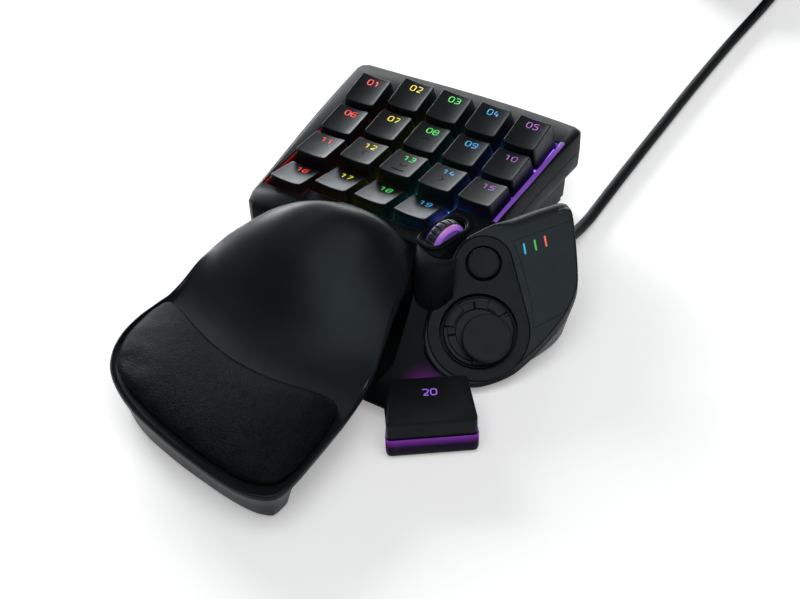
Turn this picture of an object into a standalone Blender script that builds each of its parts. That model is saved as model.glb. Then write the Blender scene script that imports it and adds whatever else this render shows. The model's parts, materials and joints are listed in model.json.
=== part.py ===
# Gaming keypad for the left hand: angled key field, thumb stick module, scroll
# wheel, wide thumb key, sliding palm rest and a coiled cable.
# +X is to the right, +Y away from the user and +Z up. The origin is the middle of
# the footprint of the keypad, without its cable, on the table.

from math import acos, atan2, cos, hypot, pi, radians, sin, tan

import bmesh
import bpy
from mathutils import Matrix, Vector

# Driving dimensions, in metres
KEY_PITCH = 0.01905
SPAN = 0.1
TOTAL_LEFT = 0.0594
TOTAL_RIGHT = 0.0915
TOTAL_FAR = 0.0256
TOTAL_NEAR = 0.2052
DECK_HEIGHT = 0.0365
DECK_TILT = radians(6)
BEZEL_HEIGHT = 0.0386
BEZEL_TILT = radians(1)
KEY_HEIGHT = 0.0115
KEY_TRAVEL = 0.0035
CLEARANCE = 0.0003
FLOOR_HEIGHT = 0.0026
CORD_DIAMETER = 0.005

SHIFT = Vector(((TOTAL_LEFT - TOTAL_RIGHT) / 2, (TOTAL_NEAR - TOTAL_FAR) / 2, 0))
PARTS = "gaming_keypad"
CUTTERS = "cutters"

COLOURS = {
    "shell": (0.035, 0.040, 0.046, 1),
    "keycap": (0.030, 0.034, 0.040, 1),
    "glow": (0.62, 0.30, 0.85, 1),
    "board": (0.02, 0.10, 0.05, 1),
    "inner": (0.05, 0.05, 0.055, 1),
    "rubber": (0.02, 0.02, 0.02, 1),
    "leather": (0.015, 0.015, 0.016, 1),
    "lens": (0.55, 0.45, 0.62, 1),
    "steel": (0.62, 0.62, 0.64, 1),
    "cable": (0.02, 0.02, 0.022, 1),
    "light_blue": (0.05, 0.30, 0.95, 1),
    "light_green": (0.05, 0.80, 0.20, 1),
    "light_amber": (0.95, 0.25, 0.05, 1),
}
ROUGHNESS = {"steel": 0.25, "lens": 0.2, "glow": 0.4, "leather": 0.5}


# Setting up


def clear_scene():
    for item in list(bpy.data.objects):
        bpy.data.objects.remove(item, do_unlink=True)


def collection(name, hidden=False):
    found = bpy.data.collections.get(name)
    if found is None:
        found = bpy.data.collections.new(name)
        bpy.context.scene.collection.children.link(found)
        found.hide_render = hidden
    return found


def material(slot, node):
    made = bpy.data.materials.new(node + "_" + slot)
    made.use_nodes = True
    shader = made.node_tree.nodes["Principled BSDF"]
    shader.inputs["Base Color"].default_value = COLOURS[slot]
    shader.inputs["Roughness"].default_value = ROUGHNESS.get(slot, 0.55)
    shader.inputs["Metallic"].default_value = 1.0 if slot == "steel" else 0.0
    made.diffuse_color = COLOURS[slot]
    return made


def node(name, mesh, slot, matrix=None):
    made = bpy.data.objects.new(name, mesh)
    collection(PARTS).objects.link(made)
    made.data.materials.clear()
    made.data.materials.append(material(slot, name))
    if matrix is not None:
        made.matrix_world = matrix
    return made


def cutter(name, mesh, matrix=None):
    made = bpy.data.objects.new(name, mesh)
    collection(CUTTERS, True).objects.link(made)
    made.display_type = "WIRE"
    made.hide_render = True
    if matrix is not None:
        made.matrix_world = matrix
    return made


def combine(target, other, operation="DIFFERENCE"):
    boolean = target.modifiers.new(other.name, "BOOLEAN")
    boolean.operation = operation
    boolean.solver = "EXACT"
    boolean.object = other


# Shapes


def turned_outward(builder):
    bmesh.ops.recalc_face_normals(builder, faces=builder.faces)


def mesh_from(builder, name):
    turned_outward(builder)
    made = bpy.data.meshes.new(name)
    builder.to_mesh(made)
    builder.free()
    return made


def loft(name, loops, ring=False):
    """Skins loops that hold the same number of points. Loops of one point close to a tip."""
    builder = bmesh.new()
    rows = [[builder.verts.new(point) for point in loop] for loop in loops]
    pairs = list(zip(rows, rows[1:]))
    if ring:
        pairs.append((rows[-1], rows[0]))
    for low, high in pairs:
        count = max(len(low), len(high))
        for i in range(count):
            j = (i + 1) % count
            if len(high) == 1:
                builder.faces.new((low[i], low[j], high[0]))
            elif len(low) == 1:
                builder.faces.new((low[0], high[j], high[i]))
            else:
                builder.faces.new((low[i], low[j], high[j], high[i]))
    if not ring:
        for row in (rows[0], rows[-1]):
            if len(row) > 2:
                builder.faces.new(row)
    return mesh_from(builder, name)


def plate(name, points, low, high):
    """A flat plate with this outline, from height low to height high."""
    curve = bpy.data.curves.new(name, "CURVE")
    curve.dimensions = "2D"
    curve.fill_mode = "BOTH"
    curve.extrude = (high - low) / 2
    spline = curve.splines.new("POLY")
    spline.points.add(len(points) - 1)
    for target, (x, y) in zip(spline.points, points):
        target.co = (x, y, 0, 1)
    spline.use_cyclic_u = True
    holder = bpy.data.objects.new(name, curve)
    collection(CUTTERS, True).objects.link(holder)
    graph = bpy.context.evaluated_depsgraph_get()
    made = bpy.data.meshes.new_from_object(holder.evaluated_get(graph))
    bpy.data.objects.remove(holder, do_unlink=True)
    builder = bmesh.new()
    builder.from_mesh(made)
    bmesh.ops.remove_doubles(builder, verts=builder.verts, dist=CLEARANCE / 300)
    bmesh.ops.translate(builder, verts=builder.verts, vec=(0, 0, (low + high) / 2))
    turned_outward(builder)
    builder.to_mesh(made)
    builder.free()
    return made


def disc(radius, height, sides, centre=(0, 0), turn=0):
    """One level loop of points on a circle."""
    steps = [turn + 2 * pi * i / sides for i in range(sides)]
    return [(centre[0] + radius * cos(a), centre[1] + radius * sin(a), height) for a in steps]


def turned(name, profile, sides):
    """A solid turned about Z, from (radius, height) pairs. A radius of 0 closes to a tip."""
    loops = []
    for radius, height in profile:
        loops.append(disc(radius, height, sides) if radius > 0 else [(0, 0, height)])
    return loft(name, loops)


def joined(name, meshes):
    builder = bmesh.new()
    for mesh in meshes:
        builder.from_mesh(mesh)
    return mesh_from(builder, name)


def moved(mesh, offset):
    mesh.transform(Matrix.Translation(offset))
    return mesh


def inset(points, distance):
    """The outline moved in by this distance, with its corners mitred."""
    area = 0
    count = len(points)
    for i in range(count):
        ax, ay = points[i]
        bx, by = points[(i + 1) % count]
        area += ax * by - bx * ay
    side = 1 if area > 0 else -1
    result = []
    for i in range(count):
        before = Vector(points[i - 1])
        here = Vector(points[i])
        after = Vector(points[(i + 1) % count])
        first = (here - before).normalized()
        second = (after - here).normalized()
        normal = Vector((-first.y - second.y, first.x + second.x)) * side
        normal.normalize()
        spread = max(0.5, normal.dot(Vector((-first.y, first.x)) * side))
        moved_in = here + normal * distance / spread
        result.append((moved_in.x, moved_in.y))
    return result


def rounded(width, depth, radius, steps, y=0):
    """A rounded rectangle about (0, y), as a list of points with steps + 1 per corner."""
    points = []
    corners = ((1, 1, 0), (-1, 1, 1), (-1, -1, 2), (1, -1, 3))
    for sx, sy, quarter in corners:
        cx = sx * (width / 2 - radius)
        cy = y + sy * (depth / 2 - radius)
        for i in range(steps + 1):
            angle = (quarter + i / steps) * pi / 2
            points.append((cx + radius * cos(angle), cy + radius * sin(angle)))
    return points


def between(table, value):
    """Smooth reading of a table of (input, output) pairs."""
    if value <= table[0][0]:
        return table[0][1]
    if value >= table[-1][0]:
        return table[-1][1]
    for i in range(len(table) - 1):
        if value <= table[i + 1][0]:
            break
    x0, y0 = table[i]
    x1, y1 = table[i + 1]
    before = table[max(i - 1, 0)]
    after = table[min(i + 2, len(table) - 1)]
    rise0 = (y1 - before[1]) / (x1 - before[0])
    rise1 = (after[1] - y0) / (after[0] - x0)
    run = x1 - x0
    t = (value - x0) / run
    a = 2 * t**3 - 3 * t**2 + 1
    b = t**3 - 2 * t**2 + t
    c = 3 * t**2 - 2 * t**3
    d = t**3 - t**2
    return a * y0 + b * run * rise0 + c * y1 + d * run * rise1


def scaled(shares, size=SPAN):
    return [(x * size, y * size) for x, y in shares]


# Two planes: the deck that carries the keys, and the nearly level top of the bezel

DECK = Matrix.Translation((0, 0, DECK_HEIGHT)) @ Matrix.Rotation(DECK_TILT, 4, "X")
BEZEL = Matrix.Translation((0, 0, BEZEL_HEIGHT)) @ Matrix.Rotation(BEZEL_TILT, 4, "X")


def on_bezel(points, drop):
    """These plan points on the plane of the bezel, lowered by drop."""
    slope = tan(BEZEL_TILT)
    return [(x, y, BEZEL_HEIGHT + y * slope - drop) for x, y in points]


HOUSING_SHARES = [
    (-0.594, 0.170), (-0.584, 0.204), (-0.552, 0.221), (-0.460, 0.226), (-0.340, 0.232),
    (-0.150, 0.246), (0.030, 0.254), (0.160, 0.256), (0.290, 0.255), (0.400, 0.252),
    (0.480, 0.248), (0.514, 0.234), (0.527, 0.200), (0.520, 0.080), (0.514, -0.050),
    (0.511, -0.170), (0.511, -0.292), (0.517, -0.413), (0.514, -0.475), (0.492, -0.530),
    (0.456, -0.578), (0.426, -0.624), (0.412, -0.674), (0.410, -0.730), (0.410, -0.768),
    (0.396, -0.782), (0.316, -0.780), (0.296, -0.766), (0.276, -0.753), (0.100, -0.752),
    (-0.040, -0.753), (-0.120, -0.766), (-0.190, -0.794), (-0.260, -0.824), (-0.330, -0.854),
    (-0.390, -0.872), (-0.440, -0.868), (-0.476, -0.840), (-0.494, -0.790), (-0.506, -0.680),
    (-0.522, -0.550), (-0.546, -0.360), (-0.566, -0.175), (-0.583, 0.020),
]
TRAY_SHARES = [
    (-0.549, 0.165), (-0.530, 0.180), (-0.150, 0.200), (0.290, 0.210), (0.460, 0.204),
    (0.479, 0.186), (0.472, -0.050), (0.467, -0.290), (0.470, -0.410), (0.462, -0.458),
    (0.442, -0.506), (0.388, -0.580), (0.366, -0.650), (0.364, -0.734), (0.318, -0.734),
    (0.284, -0.708), (-0.040, -0.708), (-0.120, -0.724), (-0.250, -0.776), (-0.380, -0.824),
    (-0.424, -0.818), (-0.448, -0.780), (-0.461, -0.680), (-0.477, -0.550), (-0.501, -0.360),
    (-0.521, -0.175), (-0.539, 0.020),
]
OPENING_SHARES = [
    (-0.484, 0.056), (-0.290, 0.056), (-0.286, 0.106), (0.484, 0.106), (0.484, -0.485),
    (0.312, -0.485), (0.275, -0.662), (0.272, -0.678), (-0.286, -0.678), (-0.290, -0.729),
    (-0.484, -0.729),
]
SKIRT = 0.009
STEP_DROP = 0.0176
WALL = 0.0022
LIP_INSET = 0.003
EDGE = 0.0016


def make_bezel():
    outline = scaled(HOUSING_SHARES)
    loops = [
        on_bezel(inset(outline, EDGE), 0),
        on_bezel(inset(outline, EDGE / 3), EDGE / 3),
        on_bezel(outline, EDGE),
        on_bezel(outline, SKIRT),
        on_bezel(inset(outline, WALL), SKIRT),
        on_bezel(inset(outline, WALL), WALL),
    ]
    bezel = node("keypad_bezel", loft("keypad_bezel", loops), "shell")
    opening = plate("opening_cutter", scaled(OPENING_SHARES), -SKIRT, SKIRT)
    combine(bezel, cutter("opening_cutter", opening, BEZEL))
    slot = rounded(SLOT_WIDTH, SLOT_LENGTH, SLOT_CORNER, 4)
    hole = loft("slot_cutter", [level(slot, -SKIRT / 2), level(slot, SKIRT / 2)])
    combine(bezel, cutter("slot_cutter", hole, SLOT_FRAME))


def make_middle_shell():
    outline = scaled(HOUSING_SHARES)
    low = inset(outline, WALL / 6)
    foot = inset(outline, LIP_INSET)
    loops = [
        on_bezel(outline, SKIRT + CLEARANCE),
        on_bezel(low, STEP_DROP - EDGE),
        on_bezel(inset(outline, EDGE / 2), STEP_DROP),
        on_bezel(foot, STEP_DROP),
        on_bezel(foot, STEP_DROP - EDGE),
        on_bezel(inset(outline, WALL), SKIRT + CLEARANCE),
    ]
    shell = node("middle_shell", loft("middle_shell", loops, ring=True), "shell")
    combine(shell, carrier_pocket())


def carrier_pocket():
    """Room for the wheel's carrier and its click, cut from the walls round it."""
    reach = carrier_inner() + CARRIER_ARM + 2 * CLEARANCE
    room = CARRIER_DEPTH / 2 + 2 * CLEARANCE
    pocket = box("carrier_pocket", -reach, reach, -room, room,
                 -CARRIER_BELOW - CARRIER_FLOOR - WHEEL_CLICK - CLEARANCE, WHEEL_RADIUS)
    return cutter("carrier_pocket", pocket, WHEEL_FRAME)


TRAY_BOTTOM = 0.0051
TRAY_FLARE = 0.001


def level(points, height):
    return [(x, y, height) for x, y in points]


def make_lower_tray():
    outline = scaled(TRAY_SHARES)
    top = STEP_DROP - EDGE / 2
    loops = [
        on_bezel(outline, top),
        level(inset(outline, TRAY_FLARE), TRAY_BOTTOM),
        level(inset(outline, TRAY_FLARE + WALL), TRAY_BOTTOM),
        on_bezel(inset(outline, WALL), top),
    ]
    tray = node("lower_tray", loft("lower_tray", loops, ring=True), "shell")
    combine(tray, carrier_pocket())


BASE_SHARES = [
    (-0.530, 0.150), (-0.520, 0.158), (0.455, 0.180), (0.463, 0.170), (0.446, -0.140),
    (0.440, -0.380), (0.400, -0.480), (0.330, -0.590), (0.330, -0.780), (0.370, -0.860),
    (0.390, -0.980), (0.440, -1.080), (0.442, -1.200), (0.390, -1.290), (0.300, -1.260), (-0.140, -1.260),
    (-0.150, -0.780), (-0.380, -0.780), (-0.485, -0.700), (-0.520, -0.300),
]
BASE_TOP = 0.0048


def make_base_plate():
    mesh = plate("base_plate", scaled(BASE_SHARES), FLOOR_HEIGHT, BASE_TOP)
    node("base_plate", mesh, "inner")


# Plates under the keys, in the frame of the deck

INNER_SHARES = [
    (-0.472, 0.115), (0.476, 0.115), (0.476, -0.472), (0.286, -0.472), (0.260, -0.674),
    (0.245, -0.700), (-0.458, -0.700),
]
SWITCH_SHARES = [
    (-0.472, 0.115), (0.476, 0.115), (0.476, -0.300), (0.434, -0.360), (0.434, -0.472),
    (0.286, -0.472), (0.260, -0.662), (-0.424, -0.662), (-0.438, -0.360), (-0.472, -0.300),
]
BOARD_SHARES = [
    (-0.425, 0.090), (0.430, 0.090), (0.430, -0.440), (0.250, -0.440), (0.235, -0.650),
    (-0.425, -0.650),
]
DIFFUSER_TOP = 0.0045
DIFFUSER_THICKNESS = 0.0015
SWITCH_TOP = 0.0098
SWITCH_THICKNESS = 0.0016
BOSS_TOP = 0.001
BOSS_RADIUS = 0.004
BORE_RADIUS = 0.0026
BOARD_TOP = 0.0117
BOARD_THICKNESS = 0.0016

KEY_COLUMN_SHARES = [-2, -1, 0, 1, 2]
COLUMN_SHIFT_SHARES = [-0.255, 0.0, 0.03, 0.03, 0.02]
ROW_PITCH = 0.0191
ROW_TILTS = [radians(6.2), radians(0), radians(-9.2), radians(-19)]
ROW_DROP_SHARES = [0.0, 0.19, 0.14, 0.18]


def key_places():
    """(number, x, y, row) of the nineteen keys of the field, in the frame of the deck."""
    found = []
    number = 1
    for row in range(len(ROW_TILTS)):
        for column, share in enumerate(KEY_COLUMN_SHARES):
            if row == 3 and column == 4:
                continue
            y = COLUMN_SHIFT_SHARES[column] * KEY_PITCH - row * ROW_PITCH
            found.append((number, share * KEY_PITCH, y, row))
            number += 1
    return found


def pillars(name, radius, low, high, sides):
    """One mesh with a round pillar at each key of the field."""
    made = []
    for _, x, y, _ in key_places():
        loops = [disc(radius, low, sides, (x, y)), disc(radius, high, sides, (x, y))]
        made.append(loft(name, loops))
    return joined(name, made)


def make_diffuser():
    bottom = -DIFFUSER_TOP - DIFFUSER_THICKNESS
    mesh = plate("light_diffuser", scaled(INNER_SHARES), bottom, -DIFFUSER_TOP)
    diffuser = node("light_diffuser", mesh, "glow", DECK)
    holes = pillars("diffuser_holes", BOSS_RADIUS + CLEARANCE, 2 * bottom, BOSS_TOP, 8)
    combine(diffuser, cutter("diffuser_holes", holes, DECK))


def make_switch_plate():
    bottom = -SWITCH_TOP - SWITCH_THICKNESS
    mesh = plate("switch_plate", scaled(SWITCH_SHARES), bottom, -SWITCH_TOP)
    switch_plate = node("switch_plate", mesh, "inner", DECK)
    middle = -SWITCH_TOP - SWITCH_THICKNESS / 2
    bosses = pillars("boss_adder", BOSS_RADIUS, middle, -BOSS_TOP, 8)
    combine(switch_plate, cutter("boss_adder", bosses, DECK), "UNION")
    bores = pillars("bore_cutter", BORE_RADIUS, 2 * bottom, BOSS_TOP, 8)
    combine(switch_plate, cutter("bore_cutter", bores, DECK))


def make_circuit_board():
    mesh = plate("circuit_board", scaled(BOARD_SHARES), -BOARD_TOP - BOARD_THICKNESS, -BOARD_TOP)
    node("circuit_board", mesh, "board", DECK)


# Key caps

CAP_BASE = 0.0181
CAP_TOP_WIDTH = 0.0141
CAP_TOP_DEPTH = 0.0157
CAP_CORNER = 0.0014
CAP_TOP_CORNER = 0.0022
CAP_SKIRT = 0.0005
CAP_WALL = 0.0013
CAP_EDGE = 0.0006
CAP_DISH = 0.0006
STEM_RADIUS = 0.0023
STEM_DEPTH = 0.007


def sloped(points, height, tilt):
    slope = tan(tilt)
    return [(x, y, height + y * slope) for x, y in points]


def around(points, radius, height):
    """The points of a loop drawn in to a circle about Z."""
    result = []
    for x, y in points:
        angle = atan2(y, x)
        result.append((radius * cos(angle), radius * sin(angle), height))
    return result


def cap_mesh(name, height, tilt):
    base = rounded(CAP_BASE, CAP_BASE, CAP_CORNER, 2)
    top = rounded(CAP_TOP_WIDTH, CAP_TOP_DEPTH, CAP_TOP_CORNER, 2)
    face = inset(top, CAP_EDGE)
    hollow = inset(base, CAP_WALL)
    ceiling = inset(top, CAP_WALL)
    middle = inset(top, CAP_TOP_WIDTH / 4)
    loops = [
        [(0, 0, height - CAP_DISH)],
        sloped(middle, height - CAP_DISH * 2 / 3, tilt),
        sloped(face, height, tilt),
        sloped(top, height - CAP_EDGE, tilt),
        level(base, CAP_SKIRT),
        level(hollow, CAP_SKIRT),
        sloped(ceiling, height - CAP_WALL - CAP_EDGE - CAP_DISH, tilt),
        sloped([(x, y) for x, y, _ in around(middle, STEM_RADIUS, 0)],
               height - CAP_WALL - CAP_EDGE - CAP_DISH, tilt),
        around(middle, STEM_RADIUS, -STEM_DEPTH),
    ]
    return loft(name, loops)


def make_keys():
    for number, x, y, row in key_places():
        name = "key_%02d" % number
        height = KEY_HEIGHT * (1 - ROW_DROP_SHARES[row])
        mesh = cap_mesh(name, height, ROW_TILTS[row])
        node(name, mesh, "keycap", DECK @ Matrix.Translation((x, y, 0)))


# The valley between palm rest and thumb module, and the wide thumb key

THUMB_KEY_X = 0.0676
THUMB_KEY_Y = -0.1308
THUMB_KEY_YAW = radians(36)
THUMB_KEY_SHARES = [(-0.1465, 0.122), (0.1525, 0.118), (0.170, -0.120), (-0.176, -0.120)]
THUMB_KEY_TOP = 0.018
THUMB_KEY_BOTTOM = 0.0100
THUMB_KEY_WALL = 0.0009
THUMB_KEY_DISH = 0.0012
THUMB_STEM_TIP = 0.0074
SKIRT_TOP = 0.0113
SKIRT_WALL = 0.001
POD_TOP = 0.0062
POD_BOSS_TOP = 0.0096
POD_BORE_FLOOR = 0.0034
POD_FOOT = 0.001
THUMB_FRAME = Matrix.Translation((THUMB_KEY_X, THUMB_KEY_Y, 0)) @ Matrix.Rotation(
    THUMB_KEY_YAW, 4, "Z"
)
VALLEY_SHARES = [
    (0.316, -0.792), (0.427, -0.792), (0.432, -0.850), (0.437, -0.914), (0.447, -0.970),
    (0.465, -1.014), (0.502, -1.056), (0.562, -1.0825), (0.632, -1.089), (0.698, -1.076),
    (0.724, -1.112), (0.868, -1.290), (0.866, -1.308), (0.614, -1.492), (0.598, -1.490),
    (0.484, -1.334), (0.386, -1.334), (0.372, -1.290), (0.400, -1.220), (0.412, -1.150),
    (0.392, -1.060), (0.372, -0.960), (0.352, -0.870),
]
SLOPE_SHARES = [
    (-0.40, 0.062), (0.155, 0.062), (0.21, 0.072), (0.28, 0.100), (0.38, 0.155), (0.48, 0.230),
    (0.56, 0.302), (0.63, 0.362), (0.90, 0.45), (0.90, 0.80), (-0.40, 0.80),
]
VALLEY_TOP = 0.04
VALLEY_REACH = 0.07


def thumb_outline(distance, steps=3):
    """The outline of the wide key, with rounded corners, moved in by this distance."""
    corners = scaled(THUMB_KEY_SHARES)
    points = []
    count = len(corners)
    for i in range(count):
        here = Vector(corners[i])
        before = (Vector(corners[i - 1]) - here).normalized() * CAP_TOP_CORNER
        after = (Vector(corners[(i + 1) % count]) - here).normalized() * CAP_TOP_CORNER
        for k in range(steps + 1):
            t = k / steps
            point = here + before * (1 - t) ** 2 + after * t**2
            points.append((point.x, point.y))
    return inset(points, distance)


def make_main_body():
    mesh = plate("main_body", scaled(VALLEY_SHARES), TRAY_BOTTOM, VALLEY_TOP)
    body = node("main_body", mesh, "shell")
    slope = plate("slope_cutter", scaled(SLOPE_SHARES), -VALLEY_REACH, VALLEY_REACH)
    upright = THUMB_FRAME @ Matrix.Rotation(pi / 2, 4, "Z") @ Matrix.Rotation(pi / 2, 4, "X")
    combine(body, cutter("slope_cutter", slope, upright))
    low = POD_TOP - (POD_TOP - TRAY_BOTTOM) / 2
    whole = thumb_outline(0)
    foot = loft("pod_foot", [level(toward(whole, 0.86, (0, 0)), POD_FOOT),
                             level(toward(whole, 0.90, (0, 0)), (POD_FOOT + TRAY_BOTTOM) / 2),
                             level(toward(whole, 0.92, (0, 0)), low)])
    combine(body, cutter("pod_foot", foot, THUMB_FRAME), "UNION")
    boss = loft("pod_boss", [disc(BOSS_RADIUS, low, 12), disc(BOSS_RADIUS, POD_BOSS_TOP, 12)])
    combine(body, cutter("pod_boss", boss, THUMB_FRAME), "UNION")
    bore = loft("pod_bore", [disc(BORE_RADIUS, POD_BORE_FLOOR, 12), disc(BORE_RADIUS, VALLEY_TOP, 12)])
    combine(body, cutter("pod_bore", bore, THUMB_FRAME))


def make_thumb_key():
    top = thumb_outline(0)
    hollow = thumb_outline(THUMB_KEY_WALL)
    ceiling = THUMB_KEY_TOP - CAP_WALL - THUMB_KEY_DISH
    middle = toward(top, 0.7, (0, 0))
    loops = [
        [(0, 0, THUMB_KEY_TOP - THUMB_KEY_DISH)],
        level(middle, THUMB_KEY_TOP - THUMB_KEY_DISH * 0.8),
        level(thumb_outline(CAP_EDGE * 2), THUMB_KEY_TOP - THUMB_KEY_DISH / 6),
        level(thumb_outline(CAP_EDGE / 2), THUMB_KEY_TOP - CAP_EDGE / 3),
        level(top, THUMB_KEY_TOP - CAP_EDGE),
        level(top, THUMB_KEY_BOTTOM),
        level(hollow, THUMB_KEY_BOTTOM),
        level(hollow, ceiling),
        around(middle, STEM_RADIUS, ceiling),
        around(middle, STEM_RADIUS, THUMB_STEM_TIP),
    ]
    node("key_20", loft("key_20", loops), "keycap", THUMB_FRAME)
    outer = thumb_outline(THUMB_KEY_WALL + CLEARANCE)
    inner = thumb_outline(THUMB_KEY_WALL + CLEARANCE + SKIRT_WALL)
    skirt = [
        level(outer, SKIRT_TOP),
        level(outer, POD_TOP + CLEARANCE),
        level(inner, POD_TOP + CLEARANCE),
        level(inner, SKIRT_TOP),
    ]
    node("key_20_skirt", loft("key_20_skirt", skirt, ring=True), "glow", THUMB_FRAME)


# Scroll wheel in its slot

SLOT_X = 0.0348
SLOT_Y = -0.0639
SLOT_YAW = radians(-15.7)
SLOT_LENGTH = 0.0200
SLOT_WIDTH = 0.0088
SLOT_CORNER = 0.0036
RING_WIDTH = 0.0016
RING_HEIGHT = 0.0009
WHEEL_SHIFT = -0.0005
WHEEL_RADIUS = 0.0095
WHEEL_SINK = 0.0052
TYRE_WIDTH = 0.0044
TYRE_HOLE = 0.0066
RIM_WIDTH = 0.0014
RIM_RADIUS = 0.0087
HUB_RADIUS = 0.0079
AXLE_RADIUS = 0.0013
AXLE_PLAY = 0.00006
CARRIER_ARM = 0.0009
CARRIER_DEPTH = 0.0055
CARRIER_BELOW = 0.0101
CARRIER_FLOOR = 0.0012
CARRIER_HEAD = 0.0022
TOOTH_COUNT = 24
TOOTH_DEPTH = 0.0005
WHEEL_CLICK = 0.0005
SLOT_FRAME = (
    BEZEL @ Matrix.Translation((SLOT_X, SLOT_Y, 0)) @ Matrix.Rotation(SLOT_YAW, 4, "Z")
)
WHEEL_FRAME = SLOT_FRAME @ Matrix.Translation((WHEEL_SHIFT, 0, -WHEEL_SINK))
AXLE_FRAME = WHEEL_FRAME @ Matrix.Rotation(pi / 2, 4, "Y")


def make_wheel_ring():
    inner = rounded(SLOT_WIDTH, SLOT_LENGTH, SLOT_CORNER, 4)
    outer = inset(inner, -RING_WIDTH)
    crown = inset(inner, -RING_WIDTH / 2)
    low = CLEARANCE / 6
    ring = [
        level(inner, low),
        level(outer, low),
        level(inset(outer, RING_HEIGHT / 3), low + RING_HEIGHT * 2 / 3),
        level(crown, low + RING_HEIGHT),
        level(inner, low + RING_HEIGHT * 2 / 3),
    ]
    node("wheel_ring", loft("wheel_ring", ring, ring=True), "shell", SLOT_FRAME)


def toothed(radius, height, sides):
    """A loop about Z whose points stand out in turn, two to a tooth."""
    points = []
    for i in range(sides * 2):
        angle = pi * i / sides
        reach = radius if i % 2 else radius - TOOTH_DEPTH
        points.append((reach * cos(angle), reach * sin(angle), height))
    return points


def make_wheel():
    half = TYRE_WIDTH / 2
    sides = TOOTH_COUNT * 2
    shoulder = WHEEL_RADIUS - 2 * TOOTH_DEPTH
    tyre = [
        disc(TYRE_HOLE, -half, sides),
        disc(shoulder, -half, sides),
        toothed(WHEEL_RADIUS, -half + TOOTH_DEPTH, TOOTH_COUNT),
        toothed(WHEEL_RADIUS, half - TOOTH_DEPTH, TOOTH_COUNT),
        disc(shoulder, half, sides),
        disc(TYRE_HOLE, half, sides),
    ]
    node("wheel_tyre", loft("wheel_tyre", tyre, ring=True), "rubber", AXLE_FRAME)
    start = half + CLEARANCE / 2
    rim = [
        disc(AXLE_RADIUS + CLEARANCE, start, 32),
        disc(RIM_RADIUS, start, 32),
        disc(RIM_RADIUS, start + RIM_WIDTH * 2 / 3, 32),
        disc(RIM_RADIUS - RIM_WIDTH / 3, start + RIM_WIDTH, 32),
        disc(AXLE_RADIUS + CLEARANCE, start + RIM_WIDTH, 32),
    ]
    node("wheel_rim", loft("wheel_rim", rim, ring=True), "lens", AXLE_FRAME)
    reach = carrier_inner() + CARRIER_ARM - CLEARANCE
    flange = -half - CLEARANCE / 2
    hub = [
        (0, -reach), (AXLE_RADIUS, -reach), (AXLE_RADIUS, flange - RIM_WIDTH / 2),
        (HUB_RADIUS, flange - RIM_WIDTH / 2), (HUB_RADIUS, flange),
        (TYRE_HOLE - CLEARANCE / 2, flange), (TYRE_HOLE - CLEARANCE / 2, half),
        (AXLE_RADIUS, half), (AXLE_RADIUS, reach), (0, reach),
    ]
    node("wheel_hub", turned("wheel_hub", hub, 28), "inner", AXLE_FRAME)


def carrier_inner():
    """Half the room between the arms of the carrier."""
    return TYRE_WIDTH / 2 + RIM_WIDTH + 2 * CLEARANCE


def make_carrier():
    inner = carrier_inner()
    outer = inner + CARRIER_ARM
    section = [
        (-outer, CARRIER_HEAD), (-inner, CARRIER_HEAD), (-inner, -CARRIER_BELOW),
        (inner, -CARRIER_BELOW), (inner, CARRIER_HEAD), (outer, CARRIER_HEAD),
        (outer, -CARRIER_BELOW - CARRIER_FLOOR), (-outer, -CARRIER_BELOW - CARRIER_FLOOR),
    ]
    mesh = plate("wheel_carrier", section, -CARRIER_DEPTH / 2, CARRIER_DEPTH / 2)
    mesh.transform(Matrix.Rotation(pi / 2, 4, "X"))
    carrier = node("wheel_carrier", mesh, "inner", WHEEL_FRAME)
    bore = loft("axle_cutter", [disc(AXLE_RADIUS + AXLE_PLAY, -2 * outer, 32),
                                disc(AXLE_RADIUS + AXLE_PLAY, 2 * outer, 32)])
    combine(carrier, cutter("axle_cutter", bore, AXLE_FRAME))


# Thumb module

WELL_X = 0.0644
WELL_Y = -0.0884
WELL_Z = 0.0168
FACE_AZIMUTH = radians(28)
FACE_SLOPE = radians(33)
FACE = (
    Matrix.Translation((WELL_X, WELL_Y, WELL_Z))
    @ Matrix.Rotation(FACE_AZIMUTH, 4, "Z")
    @ Matrix.Rotation(FACE_SLOPE, 4, "X")
)
MODULE_SHARES = [
    (0.030, -0.208), (0.126, -0.158), (0.226, -0.066), (0.302, 0.022), (0.353, 0.103),
    (0.384, 0.191), (0.384, 0.290), (0.374, 0.404), (0.363, 0.489), (0.343, 0.540),
    (0.304, 0.547), (0.224, 0.521), (0.135, 0.486), (0.062, 0.452), (0.000, 0.419),
    (-0.054, 0.387), (-0.096, 0.342), (-0.122, 0.285), (-0.143, 0.222), (-0.168, 0.152),
    (-0.194, 0.080), (-0.212, 0.010), (-0.214, -0.045), (-0.197, -0.105), (-0.158, -0.158),
    (-0.102, -0.198), (-0.038, -0.217),
]
FACE_EDGE = 0.0007
MODULE_FOOT_INSET = 0.0048
MODULE_LIP = 0.0024
DROP_WIDE = 0.0202
DROP_NARROW = 0.0116
BUTTON_X = 0.0013
BUTTON_Y = 0.0278
DROP_THICKNESS = 0.002
DROP_DEPTH = 0.0022
WELL_RADIUS = 0.0154
WELL_DEPTH = 0.0086
RECESS_RADIUS = 0.0073
BUTTON_RADIUS = 0.0065
BUTTON_HEIGHT = 0.0016
BUTTON_DEPTH = 0.0055
RECESS_DEPTH = 0.0085
PANEL_SHARES = [
    (0.150, 0.384), (0.343, 0.458), (0.368, 0.290), (0.366, 0.186), (0.338, 0.108),
    (0.260, 0.044), (0.226, 0.066), (0.210, 0.134), (0.180, 0.230), (0.156, 0.318),
]
PANEL_THICKNESS = 0.0011
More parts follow.
